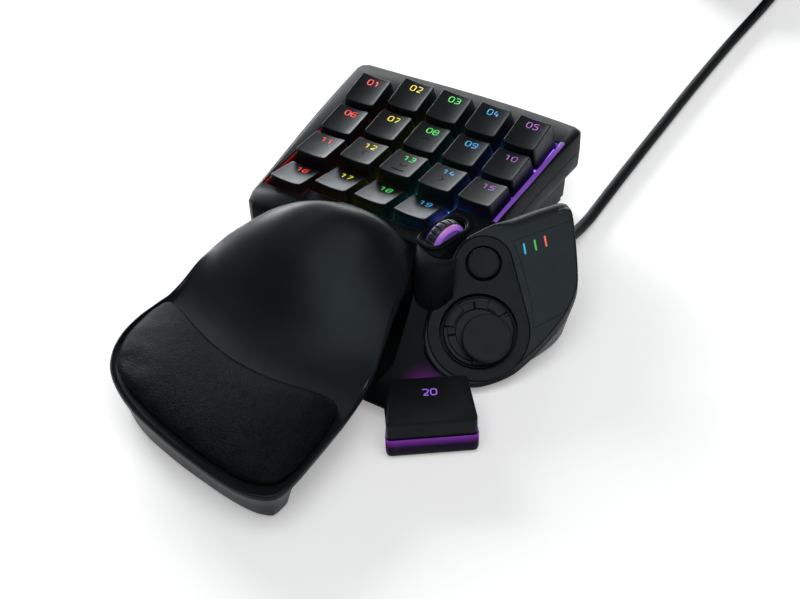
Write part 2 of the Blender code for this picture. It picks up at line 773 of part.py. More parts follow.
LIGHT_SHARES = [(0.174, 0.342, "light_blue"), (0.2165, 0.358, "light_green"),
                (0.2565, 0.375, "light_amber")]
LIGHT_LENGTH = 0.0046
LIGHT_WIDTH = 0.0012
LIGHT_TURN = radians(11)
LIGHT_DEPTH = 0.0014
BOOT_X = 0.0636
BOOT_Y = -0.0436
BOOT_Z = 0.0095
BOOT_SINK = 0.006
BOOT_LENGTH = 0.0125
BOOT_RADIUS = 0.0042
BOOT_TIP = 0.0034
BOOT_PLAY = 0.00015
BOOT_FRAME = Matrix.Translation((BOOT_X, BOOT_Y, BOOT_Z)) @ Matrix.Rotation(-pi / 2, 4, "X")


def drop_outline(distance, wide_steps=18, narrow_steps=10):
    """The teardrop round well and button, moved in by this distance."""
    run = hypot(BUTTON_X, BUTTON_Y)
    heading = atan2(BUTTON_Y, BUTTON_X)
    lean = acos((DROP_WIDE - DROP_NARROW) / run)
    wide = DROP_WIDE - distance
    narrow = DROP_NARROW - distance
    points = []
    for i in range(wide_steps + 1):
        angle = heading + lean + (2 * pi - 2 * lean) * i / wide_steps
        points.append((wide * cos(angle), wide * sin(angle)))
    for i in range(narrow_steps + 1):
        angle = heading - lean + 2 * lean * i / narrow_steps
        points.append((BUTTON_X + narrow * cos(angle), BUTTON_Y + narrow * sin(angle)))
    return points


def make_module_shell():
    outline = scaled(MODULE_SHARES)
    edge = [FACE @ Vector((x, y, 0)) for x, y in outline]
    crest = [FACE @ Vector((x, y, 0)) for x, y in inset(outline, FACE_EDGE)]
    plan = inset([(point.x, point.y) for point in edge], MODULE_FOOT_INSET)
    rows = [[], [], [], []]
    for top, over, (x, y) in zip(edge, crest, plan):
        room = top.z - FLOOR_HEIGHT
        lip = min(MODULE_LIP, room / 2)
        rows[0].append((x, y, FLOOR_HEIGHT))
        rows[1].append((top.x, top.y, top.z - lip))
        rows[2].append((top.x, top.y, top.z - lip / 4))
        rows[3].append(tuple(over))
    shell = node("module_shell", loft("module_shell", rows), "shell")
    pocket = plate("drop_cutter", drop_outline(-CLEARANCE), -DROP_DEPTH, DROP_DEPTH)
    combine(shell, cutter("drop_cutter", pocket, FACE))
    well = loft("well_cutter", [disc(WELL_RADIUS + CLEARANCE, -WELL_DEPTH, 36),
                                disc(WELL_RADIUS + CLEARANCE, DROP_DEPTH, 36)])
    combine(shell, cutter("well_cutter", well, FACE))
    recess = loft("recess_cutter",
                  [disc(RECESS_RADIUS + CLEARANCE, -RECESS_DEPTH, 28, (BUTTON_X, BUTTON_Y)),
                   disc(RECESS_RADIUS + CLEARANCE, DROP_DEPTH, 28, (BUTTON_X, BUTTON_Y))])
    combine(shell, cutter("recess_cutter", recess, FACE))
    bed = plate("panel_cutter", inset(scaled(PANEL_SHARES), -CLEARANCE),
                -PANEL_THICKNESS - CLEARANCE, PANEL_THICKNESS)
    combine(shell, cutter("panel_cutter", bed, FACE))
    hole = loft("boot_cutter", [disc(BOOT_TIP + CLEARANCE, -BOOT_SINK - CLEARANCE, 20),
                                disc(BOOT_TIP + CLEARANCE, BOOT_SINK, 20)])
    combine(shell, cutter("boot_cutter", hole, BOOT_FRAME))


def make_faceplate():
    low = -DROP_DEPTH + CLEARANCE
    top = low + DROP_THICKNESS
    loops = [
        level(drop_outline(0), low),
        level(drop_outline(0), top - FACE_EDGE / 2),
        level(drop_outline(FACE_EDGE / 2), top),
    ]
    faceplate = node("thumb_faceplate", loft("thumb_faceplate", loops), "shell", FACE)
    well = loft("face_well_cutter", [disc(WELL_RADIUS, -2 * DROP_DEPTH, 36),
                                     disc(WELL_RADIUS, DROP_DEPTH, 36)])
    combine(faceplate, cutter("face_well_cutter", well, FACE))
    recess = loft("face_recess_cutter",
                  [disc(RECESS_RADIUS, -2 * DROP_DEPTH, 28, (BUTTON_X, BUTTON_Y)),
                   disc(RECESS_RADIUS, DROP_DEPTH, 28, (BUTTON_X, BUTTON_Y))])
    combine(faceplate, cutter("face_recess_cutter", recess, FACE))


def light_place(share_x, share_y):
    place = Matrix.Translation((share_x * SPAN, share_y * SPAN, 0))
    return FACE @ place @ Matrix.Rotation(LIGHT_TURN, 4, "Z")


def make_side_panel():
    mesh = plate("side_panel", scaled(PANEL_SHARES), -PANEL_THICKNESS, 0)
    panel = node("side_panel", mesh, "shell", FACE)
    for number, (x, y, slot) in enumerate(LIGHT_SHARES, start=1):
        hole = rounded(LIGHT_WIDTH + CLEARANCE, LIGHT_LENGTH + CLEARANCE, LIGHT_WIDTH / 2, 2)
        name = "light_cutter_%d" % number
        mesh = loft(name, [level(hole, -LIGHT_DEPTH * 2), level(hole, LIGHT_DEPTH)])
        combine(panel, cutter(name, mesh, light_place(x, y)))
        window = rounded(LIGHT_WIDTH, LIGHT_LENGTH, LIGHT_WIDTH / 2, 2)
        name = "indicator_light_%d" % number
        mesh = loft(name, [level(window, -PANEL_THICKNESS), level(window, LIGHT_WIDTH / 8)])
        node(name, mesh, slot, light_place(x, y))


def make_thumb_button():
    place = FACE @ Matrix.Translation((BUTTON_X, BUTTON_Y, 0))
    stem = BUTTON_RADIUS / 2
    profile = [
        (0, -BUTTON_DEPTH), (stem, -BUTTON_DEPTH), (stem, -BUTTON_HEIGHT),
        (BUTTON_RADIUS, -BUTTON_HEIGHT), (BUTTON_RADIUS, 0),
        (BUTTON_RADIUS * 0.9, BUTTON_HEIGHT / 2), (BUTTON_RADIUS * 0.6, BUTTON_HEIGHT * 0.85),
        (0, BUTTON_HEIGHT),
    ]
    node("thumb_button", turned("thumb_button", profile, 28), "shell", place)


# Thumb stick: a gimbal that rocks one way and a pad that rocks the other

PIVOT_DEPTH = 0.0062
PAD_RADIUS = 0.0144
PAD_TOP = 0.0006
PAD_THICKNESS = 0.002
GIMBAL_RADIUS = 0.0042
GIMBAL_TOP = 0.0034
CAP_X = 0.0033
CAP_Y = -0.0037
STICK_RADIUS = 0.0099
STICK_HEIGHT = 0.0048
STICK_BASE = 0.0009
STICK_DISH = 0.0012
TAB_SHARES = [(0.63, 0.28), (0.95, 0.36), (0.95, -0.36), (0.63, -0.28)]
TAB_HEIGHT = 0.0013
TAB_TURN = radians(22)
PIVOT_FRAME = FACE @ Matrix.Translation((0, 0, -PIVOT_DEPTH))


def make_stick():
    gap = PIVOT_DEPTH - WELL_DEPTH + 2 * CLEARANCE
    ball = [
        (0, gap), (GIMBAL_RADIUS * 0.6, gap), (GIMBAL_RADIUS, 0),
        (GIMBAL_RADIUS * 0.8, GIMBAL_TOP * 0.6), (GIMBAL_RADIUS * 0.5, GIMBAL_TOP), (0, GIMBAL_TOP),
    ]
    node("pad_gimbal", turned("pad_gimbal", ball, 20), "inner", PIVOT_FRAME)
    top = PIVOT_DEPTH + PAD_TOP
    low = top - PAD_THICKNESS
    collar = [
        (0, GIMBAL_TOP + CLEARANCE), (GIMBAL_RADIUS, GIMBAL_TOP + CLEARANCE),
        (PAD_RADIUS, low), (PAD_RADIUS, top - FACE_EDGE), (PAD_RADIUS - FACE_EDGE, top),
        (PAD_RADIUS * 0.62, top - PAD_THICKNESS / 3), (0, top - PAD_THICKNESS / 3),
    ]
    pad = node("thumb_pad", turned("thumb_pad", collar, 36), "inner", PIVOT_FRAME)
    tabs = []
    for quarter in range(4):
        turn = Matrix.Rotation(TAB_TURN + quarter * pi / 2, 4, "Z")
        corners = [turn @ Vector((x * PAD_RADIUS, y * PAD_RADIUS, 0)) for x, y in TAB_SHARES]
        outline = [(corner.x, corner.y) for corner in corners]
        tabs.append(loft("tab", [level(outline, top - PAD_THICKNESS / 2),
                                 level(inset(outline, TAB_HEIGHT / 5), top + TAB_HEIGHT)]))
    combine(pad, cutter("tab_adder", joined("tab_adder", tabs), PIVOT_FRAME), "UNION")
    base = top + STICK_BASE
    crown = top + STICK_HEIGHT
    stem = top - PAD_THICKNESS / 3 + CLEARANCE / 2
    profile = [
        (0, stem), (STICK_RADIUS * 0.35, stem), (STICK_RADIUS * 0.4, base + TAB_HEIGHT),
        (STICK_RADIUS * 0.94, base + TAB_HEIGHT), (STICK_RADIUS, base + 2 * TAB_HEIGHT),
        (STICK_RADIUS * 0.98, crown - CAP_EDGE), (STICK_RADIUS * 0.9, crown),
        (STICK_RADIUS * 0.8, crown - STICK_DISH * 0.3), (STICK_RADIUS * 0.4, crown - STICK_DISH),
        (0, crown - STICK_DISH * 1.1),
    ]
    mesh = moved(turned("stick_cap", profile, 28), (CAP_X, CAP_Y, 0))
    node("stick_cap", mesh, "rubber", PIVOT_FRAME)


# Palm rest

RIM_SHARES = [
    (0.284, -0.766), (0.315, -0.830), (0.348, -0.920), (0.374, -1.030), (0.402, -1.145),
    (0.432, -1.260), (0.458, -1.370), (0.476, -1.470), (0.485, -1.580), (0.487, -1.700),
    (0.486, -1.810), (0.484, -1.900), (0.475, -1.975), (0.448, -2.020), (0.386, -2.046),
    (0.310, -2.052), (0.210, -2.042), (0.090, -2.020), (-0.030, -1.994), (-0.140, -1.964),
    (-0.240, -1.932), (-0.340, -1.886), (-0.420, -1.834), (-0.474, -1.780), (-0.516, -1.704),
    (-0.536, -1.620), (-0.536, -1.530), (-0.521, -1.446), (-0.502, -1.364), (-0.486, -1.280),
    (-0.473, -1.190), (-0.456, -1.100), (-0.428, -1.014), (-0.382, -0.946), (-0.318, -0.892),
    (-0.243, -0.848), (-0.165, -0.806), (-0.085, -0.774), (0.090, -0.762), (0.180, -0.762),
    (0.250, -0.762),
]
RISE_SHARES = [(0, 0), (0.06, 0.03), (0.12, 0.10), (0.20, 0.25), (0.30, 0.50), (0.40, 0.73),
               (0.50, 0.89), (0.60, 0.98), (0.66, 0.97), (0.72, 0.88), (0.78, 0.72), (0.86, 0.6)]
ACROSS_SHARES = [(0, 0.50), (0.12, 0.82), (0.25, 0.97), (0.4, 1.0), (0.55, 0.95), (0.7, 0.78),
                 (0.85, 0.52), (1, 0.28)]
SHOULDER_SHARES = [(0, 0), (0.07, 0.07), (0.17, 0.15), (0.28, 0.08), (0.42, 0)]
SHOULDER_WIDTH_SHARE = 0.3
TUCK_SHARES = [(-1.90, 0), (-1.76, 1), (-1.5, 1), (-1.3, 0.6), (-1.1, 0.25), (-0.8, 0)]
TUCK_SHARE = 1.8
RING_SHARES = [0.97, 0.9, 0.8, 0.68, 0.54, 0.4, 0.22, 0]
INNER_RING_SHARES = [0.8, 0.54, 0.3, 0]
SEAT_HEIGHT = 0.021
SEAT_Y = -0.155
SEAT_SLOPE_SHARE = 0.05
HUMP = 0.0275
SEAT_EDGE_Y = -0.152
SEAT_EDGE_X = 0.006
BOW_LEFT = 0.015
BOW_RIGHT = 0.0025
BOW_LEFT_RUN = 0.056
BOW_RIGHT_RUN = 0.036
RIM_LIP = 0.0014
LIP_FADE = 0.015
PALM_WALL = 0.0024
PALM_CENTRE_X = 0.002
PALM_CENTRE_Y = -0.135
PALM_FOOT_NEAR = 0.0028
PALM_FOOT_FAR = 0.0112
PALM_RAMP_NEAR = -0.142
PALM_RAMP_FAR = -0.128
PALM_INSET = 0.0035
PALM_INSET_MORE = 0.003


def rim_span(y):
    """Left and right x of the palm rest's rim at this y."""
    points = scaled(RIM_SHARES)
    found = []
    for i in range(len(points)):
        (ax, ay), (bx, by) = points[i - 1], points[i]
        if (ay - y) * (by - y) <= 0 and ay != by:
            found.append(ax + (bx - ax) * (y - ay) / (by - ay))
    if len(found) < 2:
        return -SPAN / 2, SPAN / 2
    return min(found), max(found)


def seat_edge(x):
    if x < SEAT_EDGE_X:
        return SEAT_EDGE_Y + BOW_LEFT * ((SEAT_EDGE_X - x) / BOW_LEFT_RUN) ** 2
    return SEAT_EDGE_Y + BOW_RIGHT * ((x - SEAT_EDGE_X) / BOW_RIGHT_RUN) ** 2


def seat_height(y):
    return SEAT_HEIGHT + SEAT_SLOPE_SHARE * (y - SEAT_Y)


def palm_height(x, y):
    """Height of the top of the palm rest: the seat's plane, and beyond its edge the hump."""
    past = y - seat_edge(x)
    if past <= 0:
        return seat_height(y)
    left, right = rim_span(y)
    share = min(1, max(0, (x - left) / (right - left)))
    rise = between(RISE_SHARES, past / SPAN) * between(ACROSS_SHARES, share)
    edge = max(0, 1 - share / SHOULDER_WIDTH_SHARE) ** 2
    return seat_height(y) + HUMP * (rise + edge * between(SHOULDER_SHARES, past / SPAN))


def lip_at(x, y):
    past = y - seat_edge(x)
    return RIM_LIP * min(1, max(0, 1 - past / LIP_FADE))


def palm_foot(y):
    t = min(1, max(0, (y - PALM_RAMP_NEAR) / (PALM_RAMP_FAR - PALM_RAMP_NEAR)))
    return PALM_FOOT_NEAR + (PALM_FOOT_FAR - PALM_FOOT_NEAR) * t


def toward(points, share, centre):
    cx, cy = centre
    return [(cx + (x - cx) * share, cy + (y - cy) * share) for x, y in points]


def make_palm_shell():
    rim = scaled(RIM_SHARES)
    centre = (PALM_CENTRE_X, PALM_CENTRE_Y)
    edges = [palm_height(x, y) + lip_at(x, y) for x, y in rim]
    wide = inset(rim, PALM_INSET)
    wider = inset(rim, PALM_INSET + PALM_INSET_MORE)
    near = []
    for (x, y), (ax, ay), (bx, by) in zip(rim, wide, wider):
        share = min(1, max(0, x / SPAN + 0.5)) * (1 + TUCK_SHARE * between(TUCK_SHARES, y / SPAN))
        near.append((ax + (bx - ax) * share, ay + (by - ay) * share))
    foot = [(x, y, palm_foot(y)) for x, y in near]
    middle = [
        ((x + fx) / 2, (y + fy) / 2, (z + fz) / 2)
        for (x, y), (fx, fy, fz), z in zip(inset(rim, PALM_INSET / 2), foot, edges)
    ]
    loops = [foot, middle]
    for distance, drop in ((PALM_INSET / 3, RIM_LIP * 2.3), (0, RIM_LIP * 1.7), (0, RIM_LIP / 3),
                           (RIM_LIP / 3, 0)):
        loops.append([(x, y, z - drop) for (x, y), z in zip(inset(rim, distance), edges)])
    for share in RING_SHARES:
        if share:
            loops.append([(x, y, palm_height(x, y)) for x, y in toward(rim, share, centre)])
        else:
            loops.append([(*centre, palm_height(*centre))])
    inner_foot = inset(near, PALM_WALL)
    under = [[(x, y, palm_foot(y)) for x, y in inner_foot]]
    shoulder = inset(rim, PALM_INSET / 2 + PALM_WALL)
    under.append([
        ((x + fx) / 2, (y + fy) / 2, (z + palm_foot(fy)) / 2)
        for (x, y), (fx, fy), z in zip(shoulder, inner_foot, edges)
    ])
    under.append([
        (x, y, z - RIM_LIP - 1.6 * PALM_WALL)
        for (x, y), z in zip(inset(rim, PALM_INSET / 3 + PALM_WALL), edges)
    ])
    for share in INNER_RING_SHARES:
        if share:
            ring = toward(rim, share, centre)
            under.append([(x, y, palm_height(x, y) - PALM_WALL) for x, y in ring])
        else:
            under.append([(*centre, palm_height(*centre) - PALM_WALL)])
    loops = list(reversed(under)) + loops
    node("palm_rest_shell", loft("palm_rest_shell", loops), "shell")


CUSHION_SHARES = [
    (-0.472, -1.418), (-0.436, -1.412), (-0.380, -1.430), (-0.260, -1.480), (-0.120, -1.526),
    (0.040, -1.550), (0.200, -1.546), (0.320, -1.530), (0.392, -1.528), (0.436, -1.558),
    (0.456, -1.620), (0.463, -1.720), (0.464, -1.820), (0.459, -1.905), (0.436, -1.962),
    (0.380, -1.996), (0.300, -2.006), (0.200, -1.998), (0.080, -1.978), (-0.040, -1.950),
    (-0.160, -1.918), (-0.260, -1.884), (-0.350, -1.840), (-0.418, -1.786), (-0.462, -1.726),
    (-0.490, -1.650), (-0.498, -1.565), (-0.492, -1.482),
]
CUSHION_PROFILE_SHARES = [(1, 0.10), (1, 0.36), (0.975, 0.56), (0.92, 0.72), (0.8, 0.87),
                          (0.6, 0.96), (0.35, 1.0), (0, 1.0)]
CUSHION_HEIGHT = 0.0052


def make_cushion():
    outline = scaled(CUSHION_SHARES)
    middle_y = sum(y for _, y in outline) / len(outline)
    centre = (0, middle_y)
    loops = [[(x, y, seat_height(y) + CLEARANCE) for x, y in toward(outline, 0.98, centre)]]
    for share, rise in CUSHION_PROFILE_SHARES:
        height = CLEARANCE + CUSHION_HEIGHT * rise
        if share:
            ring = toward(outline, share, centre)
            loops.append([(x, y, seat_height(y) + height) for x, y in ring])
        else:
            loops.append([(*centre, seat_height(centre[1]) + height)])
    node("palm_cushion", loft("palm_cushion", loops), "leather")


SLIDER_SHARES = [
    (-0.38, -1.50), (0.30, -1.50), (0.33, -1.60), (0.33, -1.78), (0.28, -1.87), (0.10, -1.86),
    (-0.12, -1.81), (-0.30, -1.74), (-0.38, -1.66),
]
SLIDER_BOTTOM = 0.0032
SLIDER_TOP = 0.0052
TONGUE_BOTTOM = 0.0064
TONGUE_TOP = 0.0086
TONGUE_HALF = 0.007
TONGUE_FAR = -0.087
TONGUE_NEAR = -0.154
TONGUE_JOIN = -0.1515
CHANNEL_FAR = -0.085
CHANNEL_NEAR = -0.124
CHANNEL_WALL = 0.003
CHANNEL_FLOOR = 0.0061
CHANNEL_TOP = 0.0102
FOOT_RADIUS = 0.005


def box(name, left, right, near, far, low, high):
    return plate(name, [(left, near), (right, near), (right, far), (left, far)], low, high)


def make_slider():
    mesh = plate("palm_slider", scaled(SLIDER_SHARES), SLIDER_BOTTOM, SLIDER_TOP)
    slider = node("palm_slider", mesh, "inner")
    riser = box("riser_adder", -TONGUE_HALF, TONGUE_HALF, TONGUE_NEAR, TONGUE_JOIN,
                (SLIDER_BOTTOM + SLIDER_TOP) / 2, TONGUE_TOP)
    combine(slider, cutter("riser_adder", riser), "UNION")
    inner = TONGUE_HALF - CLEARANCE
    tongue = box("tongue_adder", -inner, inner, (TONGUE_NEAR + TONGUE_JOIN) / 2, TONGUE_FAR,
                 TONGUE_BOTTOM, TONGUE_TOP - CLEARANCE)
    combine(slider, cutter("tongue_adder", tongue), "UNION")
    side = TONGUE_HALF + CHANNEL_WALL
    lip = TONGUE_HALF - CHANNEL_WALL * 0.6
    roof = TONGUE_TOP + CLEARANCE
    section = [
        (-side, TRAY_BOTTOM), (side, TRAY_BOTTOM), (side, CHANNEL_TOP), (lip, CHANNEL_TOP),
        (lip, roof), (TONGUE_HALF, roof), (TONGUE_HALF, CHANNEL_FLOOR),
        (-TONGUE_HALF, CHANNEL_FLOOR), (-TONGUE_HALF, roof), (-lip, roof), (-lip, CHANNEL_TOP),
        (-side, CHANNEL_TOP),
    ]
    mesh = plate("guide_channel", section, -CHANNEL_FAR, -CHANNEL_NEAR)
    mesh.transform(Matrix.Rotation(pi / 2, 4, "X"))
    node("guide_channel", mesh, "inner")


FOOT_SHARES = [("foot_left", -0.44, 0.06), ("foot_right", 0.38, 0.08), ("foot_near", 0.67, -1.30),
               ("foot_module", 0.70, -0.68)]
PALM_FOOT_SHARES = [("palm_foot_left", -0.28, -1.66), ("palm_foot_right", 0.24, -1.76)]


def make_feet():
    for name, x, y in FOOT_SHARES:
        bottom = POD_FOOT if name == "foot_near" else FLOOR_HEIGHT
        add_foot(name, x, y, bottom - CLEARANCE / 6)
    for name, x, y in PALM_FOOT_SHARES:
        add_foot(name, x, y, SLIDER_BOTTOM - CLEARANCE / 6)


def add_foot(name, x, y, height):
    profile = [(0, 0), (FOOT_RADIUS * 0.9, 0), (FOOT_RADIUS, FLOOR_HEIGHT / 4),
               (FOOT_RADIUS, height), (0, height)]
    mesh = turned(name, profile, 16)
    node(name, mesh, "rubber", Matrix.Translation((x * SPAN, y * SPAN, 0)))


# Cable with its boot, coil, tie and plug

LEAD_SHARES = [
    (0.636, -0.430, 0.095), (0.636, -0.360, 0.095), (0.636, -0.280, 0.095), (0.636, -0.200, 0.090),
    (0.636, -0.120, 0.074), (0.635, -0.040, 0.053), (0.634, 0.040, 0.037), (0.633, 0.120, 0.029),
    (0.630, 0.200, 0.0265),
    (0.622, 0.500, 0.0265), (0.616, 0.900, 0.0265), (0.612, 1.300, 0.0265),
    (0.616, 1.700, 0.0265), (0.628, 2.050, 0.0265), (0.636, 2.250, 0.0265),
]
LEAD_STEP = 0.0115
COIL_TURNS = 9
COIL_LAYERS = 4
COIL_MEAN = 0.029
COIL_PITCH = 0.0056
COIL_STEPS = 24
COIL_END_Y = 0.246
TAIL_DROP = 0.075
PLUG_LENGTH = 0.026
PLUG_WIDTH = 0.0155
PLUG_HEIGHT = 0.0085
SHELL_LENGTH = 0.0185
SHELL_WIDTH = 0.012
SHELL_HEIGHT = 0.0045


def catmull(points, per_span):
    """Points on a smooth curve through these, per_span to each span."""
    result = []
    count = len(points)
    for i in range(count - 1):
        p0 = Vector(points[max(i - 1, 0)])
        p1 = Vector(points[i])
        p2 = Vector(points[i + 1])
        p3 = Vector(points[min(i + 2, count - 1)])
        for k in range(per_span):
            t = k / per_span
            result.append(
                0.5 * ((2 * p1) + (p2 - p0) * t + (2 * p0 - 5 * p1 + 4 * p2 - p3) * t * t
                       + (3 * p1 - p0 - 3 * p2 + p3) * t**3)
            )
    result.append(Vector(points[-1]))
    return result


def spaced(points, step):
    """Points at even steps along this line of points."""
    lengths = [0]
    for a, b in zip(points, points[1:]):
        lengths.append(lengths[-1] + (b - a).length)
    count = max(2, round(lengths[-1] / step))
    result = []
    i = 0
    for k in range(count + 1):
        target = lengths[-1] * k / count
        while i < len(lengths) - 2 and lengths[i + 1] < target:
            i += 1
        span = lengths[i + 1] - lengths[i]
        result.append(points[i].lerp(points[i + 1], (target - lengths[i]) / span))
    return result


def tube(name, points, radius, resolution):
    curve = bpy.data.curves.new(name, "CURVE")
    curve.dimensions = "3D"
    curve.bevel_depth = radius
    curve.bevel_resolution = resolution
    curve.use_fill_caps = True
    spline = curve.splines.new("POLY")
    spline.points.add(len(points) - 1)
    for target, point in zip(spline.points, points):
        target.co = (*point, 1)
    holder = bpy.data.objects.new(name, curve)
    collection(CUTTERS, True).objects.link(holder)
    graph = bpy.context.evaluated_depsgraph_get()
    made = bpy.data.meshes.new_from_object(holder.evaluated_get(graph))
    bpy.data.objects.remove(holder, do_unlink=True)
    builder = bmesh.new()
    builder.from_mesh(made)
    bmesh.ops.remove_doubles(builder, verts=builder.verts, dist=CLEARANCE / 300)
    turned_outward(builder)
    builder.to_mesh(made)
    builder.free()
    return made


def coil_points():
    """The coil's centre line: the radius goes in and out by turns, one layer up each time."""
    per_layer = COIL_TURNS / COIL_LAYERS
    swing = COIL_PITCH * per_layer
    outer = coil_outer()
    first = CORD_DIAMETER / 2 + TIE_THICKNESS + 1.4 * CLEARANCE
    layer_rise = CORD_DIAMETER + 2 * CLEARANCE
    centre_x = LEAD_SHARES[-1][0] * SPAN - outer
    points = []
    for i in range(COIL_TURNS * COIL_STEPS + 1):
        turns = i / COIL_STEPS
        layer = min(COIL_LAYERS - 1, int(turns / per_layer))
        along = turns - layer * per_layer
        inward = layer % 2 == 0
        run = along / per_layer
        radius = outer - swing * run if inward else outer - swing * (1 - run)
        edge_low = 0 if layer == 0 else 0.25
        edge_high = 0 if layer == COIL_LAYERS - 1 else 0.25
        height = layer
        if along < edge_low:
            t = (along + 0.25) / 0.5
            height = layer - 1 + t * t * (3 - 2 * t)
        elif along > per_layer - edge_high:
            t = (along - per_layer + 0.25) / 0.5
            height = layer + t * t * (3 - 2 * t)
        angle = 2 * pi * turns
        points.append(Vector((centre_x + radius * cos(angle), COIL_END_Y + radius * sin(angle),
                              first + height * layer_rise)))
    return points


def coil_gap(points):
    """The least distance from the coil to itself, between surfaces."""
    least = SPAN
    for i in range(len(points)):
        for j in range(i + COIL_STEPS // 3, len(points)):
            least = min(least, (points[i] - points[j]).length)
    return least - CORD_DIAMETER


def make_cable():
    coil = coil_points()
    print("least gap of the coil to itself, in mm:", round(coil_gap(coil) * 1000, 2))
    lead = [Vector(point) * SPAN for point in LEAD_SHARES[:-1]]
    start = coil[0]
    straight = Vector((0, CORD_DIAMETER, 0))
    lead += [start - straight * 3, start - straight]
    lead = spaced(catmull(lead, 8), LEAD_STEP)
    lead.append(start - straight / 8)
    node("cable_lead", tube("cable_lead", lead, CORD_DIAMETER / 2, 2), "cable")
    heading = (coil[-1] - coil[-2]).normalized()
    low = Vector((0, 0, CORD_DIAMETER / 2 + CLEARANCE / 2 - coil[-1].z))
    flat = Vector((heading.x, heading.y, 0)).normalized()
    end = coil[-1]
    tail = [end + flat * CORD_DIAMETER, end + flat * CORD_DIAMETER * 2]
    for share, drop in ((0.45, 0.25), (0.75, 0.75), (1.0, 1.0), (1.35, 1.0), (1.7, 1.0)):
        tail.append(end + flat * (CORD_DIAMETER * 2 + TAIL_DROP * share) + low * drop)
    tail = catmull([end] + tail, 6)
    tail = spaced(tail, LEAD_STEP)
    for point in tail:
        point.z = max(point.z, CORD_DIAMETER / 2 + CLEARANCE / 2)
    whole = [start] + coil[1:] + tail[1:]
    node("cable_coil", tube("cable_coil", whole, CORD_DIAMETER / 2, 1), "cable")
    print("lead and coil lengths, in m:", round(line_length(lead), 3), round(line_length(whole), 3))
    return coil, tail, flat


def line_length(points):
    return sum((b - a).length for a, b in zip(points, points[1:]))


TIE_TURN_SHARE = 0.5
TIE_WIDTH = 0.006
TIE_THICKNESS = 0.0005
TIE_ROOM = 0.0008


def make_tie(coil):
    """A flat loop round all turns at one place of the coil."""
    radii = []
    centre = Vector((LEAD_SHARES[-1][0] * SPAN - coil_outer(), COIL_END_Y, 0))
    for point in coil:
        radii.append((Vector((point.x, point.y, 0)) - centre).length)
    half = CORD_DIAMETER / 2
    low = min(radii) - half - TIE_ROOM
    high = max(radii) + half + TIE_ROOM
    top = max(point.z for point in coil) + half + TIE_ROOM
    bottom = CLEARANCE / 3
    floor = bottom + TIE_THICKNESS
    middle = ((low + high) / 2, (top + floor) / 2)
    width = high - low
    height = top - floor
    inner = rounded(width, height, half, 3)
    outer = inset(inner, -TIE_THICKNESS)
    loops = []
    for points, side in ((inner, -1), (outer, -1), (outer, 1), (inner, 1)):
        loops.append([(x + middle[0], side * TIE_WIDTH / 2, y + middle[1]) for x, y in points])
    mesh = loft("cable_tie", loops, ring=True)
    place = Matrix.Translation(centre) @ Matrix.Rotation(2 * pi * TIE_TURN_SHARE, 4, "Z")
    node("cable_tie", mesh, "rubber", place)


def coil_outer():
    return COIL_MEAN + COIL_PITCH * COIL_TURNS / COIL_LAYERS / 2


def make_plug(tail, flat):
    end = tail[-1]
    angle = atan2(flat.y, flat.x)
    height = PLUG_HEIGHT / 2
    place = Matrix.Translation((end.x, end.y, height)) @ Matrix.Rotation(angle, 4, "Z")
    upright = Matrix.Rotation(pi / 2, 4, "Z") @ Matrix.Rotation(pi / 2, 4, "X")
    start = CLEARANCE
    small = rounded(CORD_DIAMETER * 1.5, CORD_DIAMETER * 1.3, CORD_DIAMETER * 0.6, 3)
    full = rounded(PLUG_WIDTH, PLUG_HEIGHT, PLUG_HEIGHT * 0.3, 3)
    slim = rounded(PLUG_WIDTH * 0.94, PLUG_HEIGHT * 0.9, PLUG_HEIGHT * 0.3, 3)
    loops = [
        level(small, start), level(small, start + PLUG_LENGTH * 0.22),
        level(slim, start + PLUG_LENGTH * 0.34), level(full, start + PLUG_LENGTH * 0.42),
        level(full, start + PLUG_LENGTH * 0.94), level(slim, start + PLUG_LENGTH),
    ]
    mesh = loft("plug_overmould", loops)
    mesh.transform(upright)
    node("plug_overmould", mesh, "rubber", place)
    outer = rounded(SHELL_WIDTH, SHELL_HEIGHT, SHELL_HEIGHT / 8, 2)
    inner = inset(outer, CLEARANCE * 1.2)
    far = start + PLUG_LENGTH + CLEARANCE + SHELL_LENGTH
    loops = [
        level(outer, start + PLUG_LENGTH + CLEARANCE), level(outer, far), level(inner, far),
        level(inner, start + PLUG_LENGTH + CLEARANCE * 4),
    ]
    mesh = loft("plug_shell", loops)
    mesh.transform(upright)
    node("plug_shell", mesh, "steel", place)


def make_boot():
    hole = CORD_DIAMETER / 2 + BOOT_PLAY
    out = BOOT_SINK * 0.6
    rib = BOOT_LENGTH / 9
    profile = [(hole, -BOOT_SINK), (BOOT_TIP, -BOOT_SINK), (BOOT_TIP, out)]
    for i in range(4):
        at = out + rib * (2 * i)
        reach = BOOT_RADIUS - (BOOT_RADIUS - BOOT_TIP) * i / 4
        profile.append((reach, at))
        profile.append((reach, at + rib))
        profile.append((BOOT_TIP - CLEARANCE / 2, at + rib))
        profile.append((BOOT_TIP - CLEARANCE / 2, at + 2 * rib))
    profile.append((hole, out + rib * 8))
    loops = [disc(radius, height, 16) for radius, height in profile]
    mesh = loft("strain_relief", loops, ring=True)
    node("strain_relief", mesh, "rubber", BOOT_FRAME)


def main():
    clear_scene()
    make_bezel()
    make_middle_shell()
    make_lower_tray()
    make_base_plate()
    make_diffuser()
    make_switch_plate()
    make_circuit_board()
    make_keys()
    make_main_body()
    make_thumb_key()
    make_wheel_ring()
    make_carrier()
    make_wheel()
    make_module_shell()
    make_faceplate()
    make_side_panel()
    make_thumb_button()
    make_stick()
    make_palm_shell()
    make_cushion()
    make_slider()
    make_feet()
    make_boot()
    coil, tail, flat = make_cable()
    make_tie(coil)
    make_plug(tail, flat)
    for item in bpy.data.objects:
        item.location = item.location + SHIFT


main()
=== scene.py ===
import json
from math import pi, radians, tan

